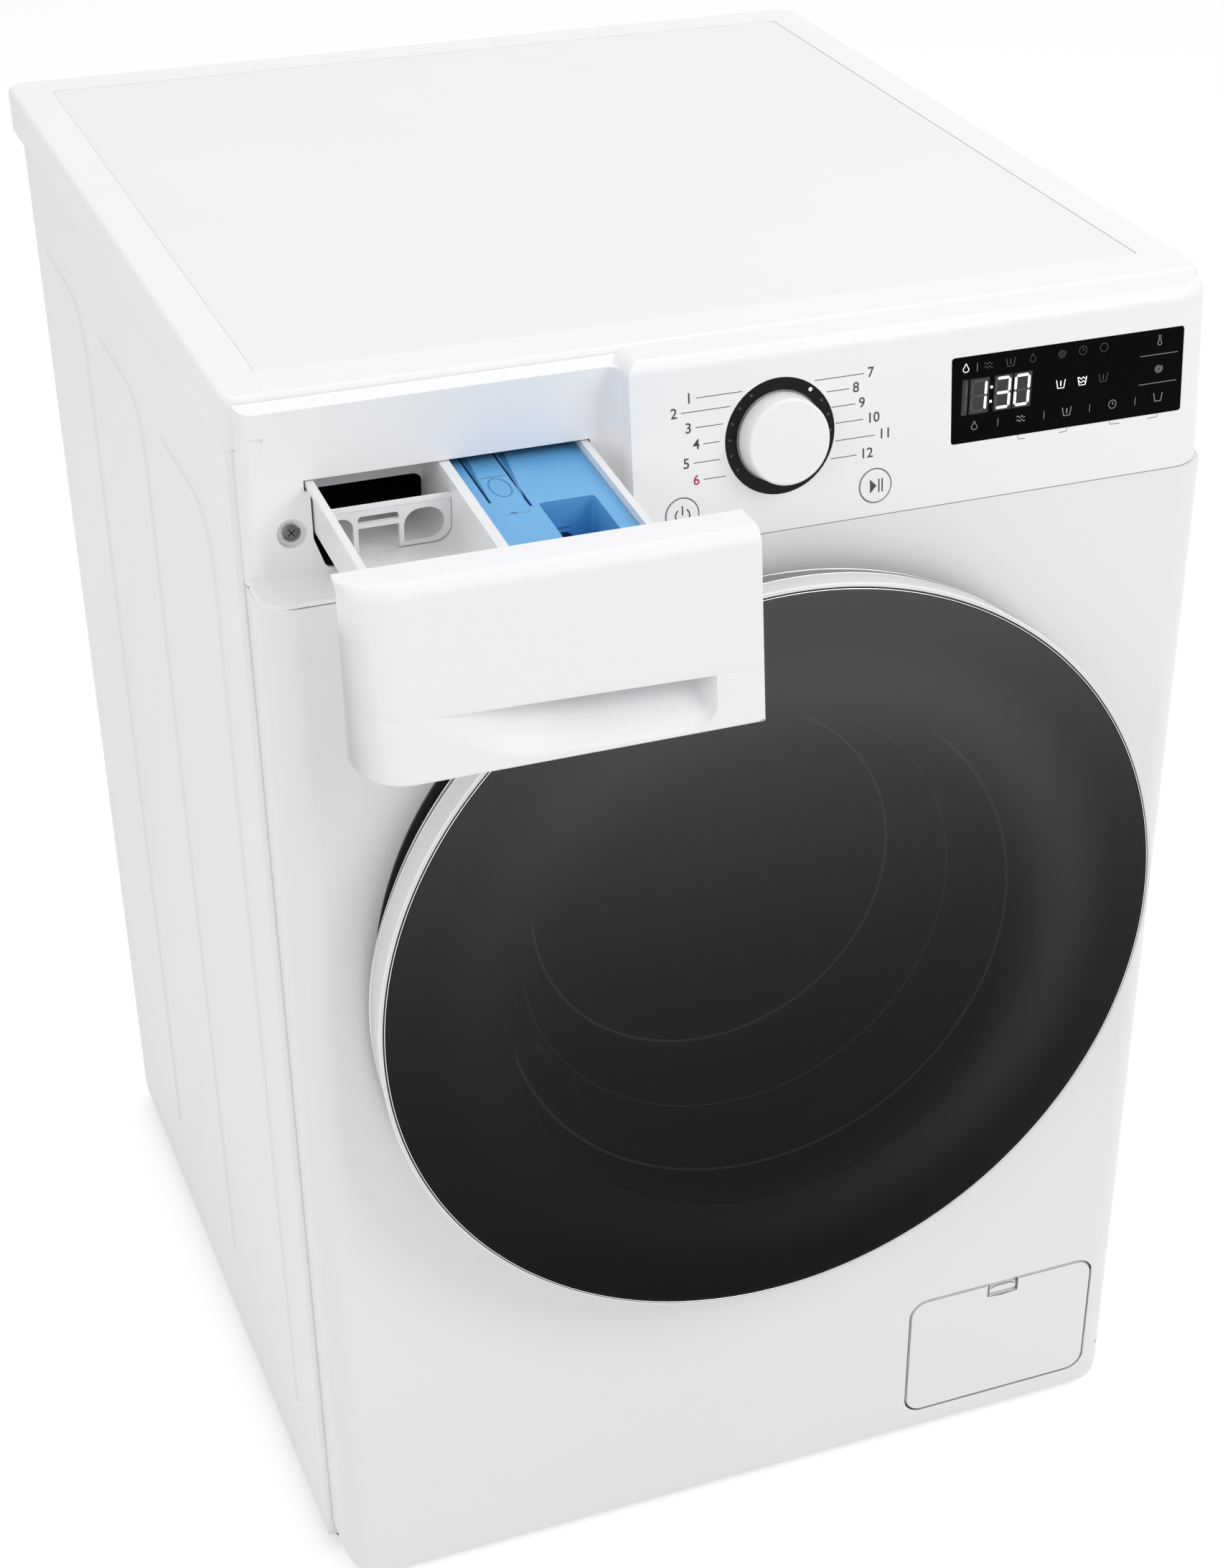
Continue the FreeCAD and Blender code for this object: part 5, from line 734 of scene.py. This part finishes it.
def circle(middle, radius, start=0, stop=360, steps=48):
    """Points of an arc, in degrees counter-clockwise from the right."""
    angle = np.radians(np.linspace(start, stop, steps))
    return np.column_stack([middle[0] + radius * np.cos(angle), middle[1] + radius * np.sin(angle)])


print("ink helpers ready")


# %% Figures
def figures(name, texts, material):
    """Plain numbers: each becomes a mesh, is moved flat to its place, and is laid on the panel.
    texts are (characters, x, y, align)."""
    shapes = []
    for characters, x, y, align in texts:
        curve = bpy.data.curves.new("figure", "FONT")
        curve.body, curve.size, curve.align_x, curve.align_y = characters, 8.3, align, "CENTER"
        curve.extrude, curve.offset, curve.resolution_u = 0.055, 0.09, 4
        holder = bpy.data.objects.new("figure", curve)
        scene.collection.objects.link(holder)
        mesh = bpy.data.meshes.new_from_object(holder.evaluated_get(bpy.context.evaluated_depsgraph_get()))
        corners = np.zeros(len(mesh.vertices) * 3)
        mesh.vertices.foreach_get("co", corners)
        corners = corners.reshape(-1, 3) + (x, y, 0)
        shapes.append((on_panel(corners[:, :2], 0.005 + corners[:, 2]),
                       [list(face.vertices) for face in mesh.polygons]))
        bpy.data.objects.remove(holder)
        bpy.data.meshes.remove(mesh)
    printed(name, shapes, material)


ink = finish("dark_ink", (0.045, 0.046, 0.048), 0.5, (-0.005, 0.005, 0.004))
crimson = finish("crimson_ink", (0.40, 0.02, 0.09), 0.5, ((-0.02, -0.002, -0.005), (0.02, 0.003, 0.007), 0.004))
print("inks ready")

# %% Leader lines and numbers round the knob
left_lines = [(-40.4, -12.7, 84.6), (-49.7, -20.0, 77.1), (-41.3, -24.5, 67.8), (-36.8, -27.0, 58.0),
              (-43.2, -27.0, 47.7), (-37.4, -23.8, 37.5)]
right_lines = [(31.8, 62.2, 84.8), (39.0, 53.0, 77.3), (42.0, 56.7, 68.0), (44.4, 61.7, 58.4),
               (44.2, 69.1, 48.1), (41.1, 57.5, 38.0)]
lines = [stroke([(start, up), (end, up)], 0.42, 0) for start, end, up in left_lines + right_lines]
printed("leader_lines", lines, ink)
left_labels = [(str(number + 1), start - 2.2, up, "RIGHT") for number, (start, _, up) in enumerate(left_lines)]
right_labels = [(str(number + 7), end + 2.2, up, "LEFT") for number, (_, end, up) in enumerate(right_lines)]
figures("program_numbers", left_labels[:-1] + right_labels, ink)
figures("allergy_number", left_labels[-1:], crimson)
print(len(lines), "leader lines")

# %% [markdown]
# ## Lamps, buttons and display
# The dark ring round the knob has a row of small lamps, one of them lit. The two round buttons
# have a fine gap round them, drawn as a ring of painted shade, and a plain sign each. Behind its
# dark window the display shows a time in seven-segment figures, with the unlit segments faintly
# visible, and rows of plain signs.
# A lit sign is white light on top of a white face, so that it reads white in any room.

# %% Lamp and display finishes
lit_sign = finish("lit_sign", (0.8, 0.8, 0.8), 0.4, (-0.02, 0.02, 0.002), glow=0.75)
dim_sign = finish("dim_sign", (0.045, 0.045, 0.047), 0.4, (-0.005, 0.005, 0.002))
grey_sign = finish("grey_sign", (0.30, 0.30, 0.31), 0.4, (-0.02, 0.02, 0.002))
cell = finish("display_cell", (0.011, 0.011, 0.0115), 0.35, (-0.001, 0.001, 0.003))
print("display finishes ready")

# %% Lamps on the knob's ring
ring_low, ring_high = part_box("knob_ring")
knob_x, knob_up, lamp_reach = (ring_low.x + ring_high.x) * 500, 55.8, 31
lamp_angles = [124, 141.6, 159.3, 176.5, 193.5, 211, 34.2, 16.5, -1, -18.8, -36]


def ring_lamp(degree, size):
    """A round spot of `size` on the ring."""
    angle = math.radians(degree)
    middle = (knob_x + lamp_reach * math.cos(angle), knob_up + lamp_reach * math.sin(angle))
    return patch(circle(middle, size, steps=25)[:-1], ring_lift)


printed("ring_lamps", [ring_lamp(degree, 0.85) for degree in lamp_angles], dim_sign)
printed("ring_lamp_lit", [ring_lamp(52.3, 1.1)], lit_sign)
print(len(lamp_angles) + 1, "lamps")

# %% Buttons
power_at, start_at = (-51.0, 18.5), (69.3, 18.1)
# painted shade: a dark ring round each button where its gap lies in shadow
printed("button_gap_shade", [stroke(circle(at, 10.2, steps=97), 0.45, 0) for at in (power_at, start_at)], ink)
x, up = power_at
power_sign = [stroke(circle((x, up - 0.2), 4.3, 128, 412, 60), 0.85, power_lift),
              stroke([(x, up + 0.2), (x, up + 5.6)], 0.85, power_lift)]
printed("power_sign", power_sign, ink, "power_button")
x, up = start_at
start_sign = [patch([(x - 3.6, up - 4.2), (x + 0.6, up), (x - 3.6, up + 4.2)], start_lift)]
start_sign += [stroke([(x + right, up - 4), (x + right, up + 4)], 0.85, start_lift) for right in (2.1, 4.2)]
printed("start_sign", start_sign, ink, "start_button")
print("signs on both buttons")

# %% Seven-segment figures
lit_segments = {"1": "bc", "3": "abgcd", "0": "abcdef"}
figure_foot, figure_wide, figure_tall = 53.4, 8.6, 17.2
bar_half, bar_gap, bar_slant = 0.8, 0.35, 0.06


def segments(x):
    """The seven bars of one figure, a to g, as tapered patches that lean to the right."""
    w, h = figure_wide / 2, figure_tall / 2
    ends = {"a": (-w, h, w, h), "b": (w, h, w, 0), "c": (w, 0, w, -h), "d": (-w, -h, w, -h),
            "e": (-w, 0, -w, -h), "f": (-w, h, -w, 0), "g": (-w, 0, w, 0)}
    bars = {}
    for letter, bar in ends.items():
        start, end = np.reshape(bar, (2, 2))
        along = (end - start) / np.linalg.norm(end - start)
        aside = np.array([-along[1], along[0]]) * bar_half
        taper = along * bar_half
        start, end = start + along * bar_gap, end - along * bar_gap
        outline = np.array([start, start + taper + aside, end - taper + aside, end,
                            end - taper - aside, start + taper - aside])
        outline[:, 0] += bar_slant * outline[:, 1]
        bars[letter] = patch(outline + (x + w, figure_foot + h), window_lift + 0.02)
    return bars


lit_bars, dim_bars = [], []
for x, figure in ((131.2, "1"), (146.6, "3"), (159.2, "0")):
    for letter, bar in segments(x).items():
        (lit_bars if letter in lit_segments[figure] else dim_bars).append(bar)
dim_bars += [bar for letter, bar in segments(118.6).items() if letter in "bc"]
lit_bars += [patch([(x, up), (x + 1.5, up), (x + 1.5, up + 1.5), (x, up + 1.5)], window_lift + 0.02)
             for x, up in ((142.4, 57.0), (142.9, 65.4))]
cells = [patch([(x, 51.6), (x + wide, 51.6), (x + wide + 1, 72.4), (x + 1, 72.4)], window_lift - 0.03)
         for x, wide in ((124.0, 3.6), (129.0, 12.4), (144.8, 11.6), (157.4, 11.8))]
printed("display_cells", cells, cell)
print(len(lit_bars), "lit bars,", len(dim_bars), "dim bars")


# %% Display signs
def sign(path, width=0.4):
    """One stroke of a sign on the display's window."""
    return stroke(path, width, window_lift)


def clock_sign(x, up):
    """A ring with two hands."""
    return [sign(circle((x, up), 2.5)), sign([(x, up + 1.6), (x, up), (x + 1.2, up)])]


def tub_sign(x, up, mark=True):
    """An open wash tub, narrower at its foot, with an upright mark in it."""
    tub = sign([(x - 2.9, up + 2.5), (x - 2.0, up - 2.4), (x + 2.0, up - 2.4), (x + 2.9, up + 2.5)], 0.55)
    return [tub] + ([sign([(x, up + 1.9), (x, up - 1.2)], 0.7)] if mark else [])


def drop_sign(x, up):
    """A drop: a circle pulled up to a point."""
    turn = np.linspace(0, math.tau, 40)
    upper = np.clip(np.sin(turn), 0, 1)
    return [sign(np.column_stack([x + 1.9 * np.cos(turn) * (1 - 0.45 * upper),
                                  up - 0.5 + 1.7 * np.sin(turn) * (1 + 0.9 * upper ** 3)]))]


def wave_sign(x, up):
    """Two level sine waves."""
    run = np.linspace(-2.7, 2.7, 25)
    return [sign(np.column_stack([x + run, up + level + 0.6 * np.sin(run * 2.3)])) for level in (-1.1, 1.1)]


def spin_sign(x, up):
    """A spiral: the radius grows evenly with the angle."""
    turn = np.linspace(0, 4.2 * math.pi, 60)
    reach = 0.4 + 2.3 * turn / turn[-1]
    return [sign(np.column_stack([x + reach * np.cos(turn), up + reach * np.sin(turn)]), 0.45)]


def warmth_sign(x, up):
    """A thermometer: a round bulb under a narrow tube."""
    tube = [(x - 0.55, up - 0.7), (x - 0.55, up + 2.8), (x + 0.55, up + 2.8), (x + 0.55, up - 0.7)]
    return [sign(circle((x, up - 1.8), 1.3, 115, 425, 30), 0.45), sign(tube)]


print("signs: clock, tub, drop, wave, spin, warmth")

# %% Display contents
lit_shapes = lit_bars + drop_sign(126.9, 79.1) + tub_sign(189.1, 61.8) + tub_sign(203.3, 61.8, False)
lit_shapes += wave_sign(203.3, 62.4)
dim_shapes = dim_bars + wave_sign(141.4, 79.3) + tub_sign(155.8, 79.3) + drop_sign(170.2, 79.6)
dim_shapes += spin_sign(189.2, 79.8) + clock_sign(203.2, 79.9) + [sign(circle((217.1, 79.9), 2.5))]
dim_shapes += tub_sign(217.3, 62.0)
keys = [sign([(134.0, 76.6), (134.3, 81.4)], 0.35)]
keys += [sign([(x, 42.4), (x + 0.25, 47.0)], 0.35) for x in (148.0, 178.4, 208.8, 239.4)]
keys += [sign([(241.7, up), (267.0, up)], 0.35) for up in (71.0, 54.0)]
keys += warmth_sign(254.5, 79.6) + spin_sign(254.4, 62.4) + drop_sign(132.8, 44.6) + wave_sign(163.2, 44.8)
keys += tub_sign(193.6, 44.9) + clock_sign(224.2, 45.0) + tub_sign(255.0, 45.2, False)
brackets = [stroke(path, 0.35, 0) for path in
            ([(161.4, 35.0), (162.0, 32.6), (166.4, 32.4)], [(189.0, 32.6), (193.6, 32.8), (194.4, 34.8)],
             [(222.6, 35.2), (223.2, 32.9), (229.6, 32.7)], [(248.4, 32.9), (254.6, 33.1), (255.4, 35.2)])]
printed("display_lit", lit_shapes, lit_sign)
printed("display_dim", dim_shapes, dim_sign)
printed("display_keys", keys, grey_sign)
printed("key_brackets", brackets, ink)
print("display drawn")

# %% [markdown]
# ## Small things on the front
# The filter cover's gap is drawn with a fine dark line of painted shade, and its latch gets a dark
# frame of painted shade round its gap. The screw in the drawer's recess gets a domed head with a
# dark cross of painted shade in its recess and a grey ring of painted shade in its counterbore. A
# small white ledge closes the corner under the control panel, where two rounds of different size meet.

# %% Cover line and latch frame, painted shade of their gaps
# painted shade: grey for the gaps round the filter cover and its latch, and for the screw's counterbore
gap_shade_grey = finish("gap_shade_grey", (0.16, 0.16, 0.165), 0.6, (-0.01, 0.01, 0.01))
line_left, line_low, line_right, line_high, line_round = 127.95, 20.45, 272.95, 122.75, 12.5
latch_left, latch_right, latch_low, latch_high, latch_lift = 189.2, 212.5, 111.4, 122.6, -0.35


def on_front(flat, lift):
    """Flat (across, height) points to the front panel's plane, lift millimetres in front of it."""
    across, height = flat[..., 0], flat[..., 1]
    return np.stack([across, 0 * across - lift, height], -1)


near, far = (line_left + line_round, line_low + line_round), (line_right - line_round, line_high - line_round)
corners = [circle(middle, line_round, start, start + 90, 9) for middle, start in
           (((near[0], far[1]), 90), (near, 180), ((far[0], near[1]), 270), (far, 0))]
loop = np.concatenate([[(187.6, line_high)]] + corners + [[(214.0, line_high)]])
printed("cover_gap_shade", [stroke(loop, 0.5, 0, on_front)], gap_shade_grey, "filter_cover")
path = [(latch_left, latch_high), (latch_left, latch_low), (latch_right, latch_low), (latch_right, latch_high)]
latch_gap_shade = [stroke(path[n:n + 2], 1.1, latch_lift, on_front) for n in range(3)]
latch_gap_shade.append(stroke(circle((200.85, 101.0), 20.4, 62, 118, 20), 0.7, latch_lift, on_front))
printed("latch_gap_shade", latch_gap_shade, gap_shade_grey, "filter_latch")
print("cover line", line_right - line_left, "x", line_high - line_low, "mm")

# %% Screw head
screw_at, screw_deep = np.array([-269.2, 772.4]), 30.55
dark_metal = finish("dark_metal", (0.15, 0.15, 0.155), 0.3, drift=(0.28, 0.42, 0.002),
                    grain=(0.0008, 3e-5), metal=1.0)
dome = [(0, screw_deep), (1.6, 30.6), (3.2, 30.78), (4.1, 31.05), (4.55, 31.5), (4.55, 31.9), (0, 31.9)]
turned("screw_face", dome, dark_metal, "cabinet", steps=48, x=screw_at[0], z=screw_at[1])
# painted shade: the cross recess is a dark patch laid on the head
arm = np.array([(-2.7, -0.45), (2.7, -0.45), (2.7, 0.45), (-2.7, 0.45)])
cross_shade = [patch(arm @ np.array([(math.cos(a), math.sin(a)), (-math.sin(a), math.cos(a))]) + screw_at,
               -screw_deep, on_front) for a in np.radians([38, 128])]
printed("screw_cross_shade", cross_shade, dark_plastic)
printed("screw_shade", [stroke(circle(screw_at, 4.9, -160, 30, 30), 0.8, -30.9, on_front)], gap_shade_grey)
print("screw at", screw_at)

# %% Corner ledge
outer, inner = circle((274.7, 20.3), 19.2, -90, 0, 20), circle((267, 28), 23, 0, -90, 20)
ledge = np.concatenate([outer, [(293.9, 28)], inner])
levels = np.repeat([seam - 3.2, seam - 0.45], len(ledge))
points = np.column_stack([np.tile(ledge, (2, 1)), levels])
build("corner_ledge", points, capped(2, len(ledge)), enamel, "cabinet")
print("ledge of", len(ledge), "corners")

# %% [markdown]
# ## Marks on the softener insert
# The blue insert has a finger patch, two wedge-shaped slots beside its sprung tongue and a notched
# window in its cup. They are drawn with painted shade: a darker blue where their walls and edges lie
# in shadow, and a near-black blue in the window's opening. `on_insert` takes flat drawer
# coordinates to the machine: a turn of 4 degrees about the slide's pivot, then the pull.

# %% Insert marks, painted shade
slope, pivot_deep, pivot_up = math.radians(4), 30, 776
insert_top, cup_wall = 796, 173.2


def on_insert(flat, lift):
    """Flat (across, depth) points on the insert's top, turned by the slide's slope and pulled out."""
    deep, tall = flat[..., 1] - pivot_deep, insert_top - pivot_up + lift
    return np.stack([flat[..., 0], pivot_deep + deep * math.cos(slope) - tall * math.sin(slope) + pulled[1],
                     pivot_up + deep * math.sin(slope) + tall * math.cos(slope) + pulled[2]], -1)


def in_cup(flat, lift):
    """Flat (across, level) points on the cup's rear wall."""
    across, level = flat[..., 0], flat[..., 1]
    return on_insert(np.stack([across, 0 * across + cup_wall - lift], -1), level - insert_top)


# painted shade: a darker blue for the slots and edges, a near-black blue for the window's opening
blue_shade = finish("blue_shade", (0.05, 0.20, 0.45), 0.35, ((-0.005, -0.01, -0.02), (0.005, 0.01, 0.02), 0.004))
blue_deep_shade = finish("blue_deep_shade", (0.008, 0.03, 0.08), 0.5,
                    ((-0.002, -0.004, -0.01), (0.002, 0.004, 0.01), 0.004))
finger = circle((0, 0), 1, steps=49) * (5.75, 11) + (-158.5, 197)
marks = [stroke(finger, 0.9, 0, on_insert), stroke([(-165.9, 210), (-150.9, 210)], 0.7, 0, on_insert),
         stroke([(-165.9, 166.0), (-152.0, 166.0)], 0.3, 0, on_insert),
         stroke([(-142, 779), (-126, 779)], 0.5, 0, in_cup),
         patch([(-168.9, 182.4), (-168.2, 236), (-165.2, 236)], 0, on_insert),
         patch([(-151.1, 171.6), (-147.0, 236), (-143.2, 236)], 0, on_insert)]
printed("insert_marks", marks, blue_shade, "drawer")
window = [patch([(-144.2, 766), (-124, 766), (-124, 773), (-128, 776), (-134, 776), (-139, 772.5),
                 (-142, 775), (-144.2, 775)], 0, in_cup),
          stroke([(-162.4, 167.3), (-158.9, 167.3)], 0.9, 0, on_insert)]
printed("insert_window", window, blue_deep_shade, "drawer")
print(len(marks), "marks")

# %% [markdown]
# ## Floor
# A plain pale floor that only takes the machine's soft shadow.

# %% Floor
floor_mesh = bpy.data.meshes.new("floor")
floor_mesh.from_pydata([(-8, -8, 0), (8, -8, 0), (8, 8, 0), (-8, 8, 0)], [], [(0, 1, 2, 3)])
floor = bpy.data.objects.new("floor", floor_mesh)
scene.collection.objects.link(floor)
pale = finish("pale_floor", (0.85, 0.85, 0.85), 0.9, specular=0.0)
tree = pale.node_tree
nothing, lit = (node(tree, "Emission", Strength=strength).outputs[0] for strength in (0.0, 0.40))
seen = node(tree, "MixShader", background_rays(tree), nothing, lit)
both = node(tree, "AddShader", tree.nodes["Principled BSDF"].outputs[0], seen.outputs[0])
feed(tree, tree.nodes["Material Output"].inputs["Surface"], both.outputs[0])
floor_mesh.materials.append(pale)
print("floor laid")
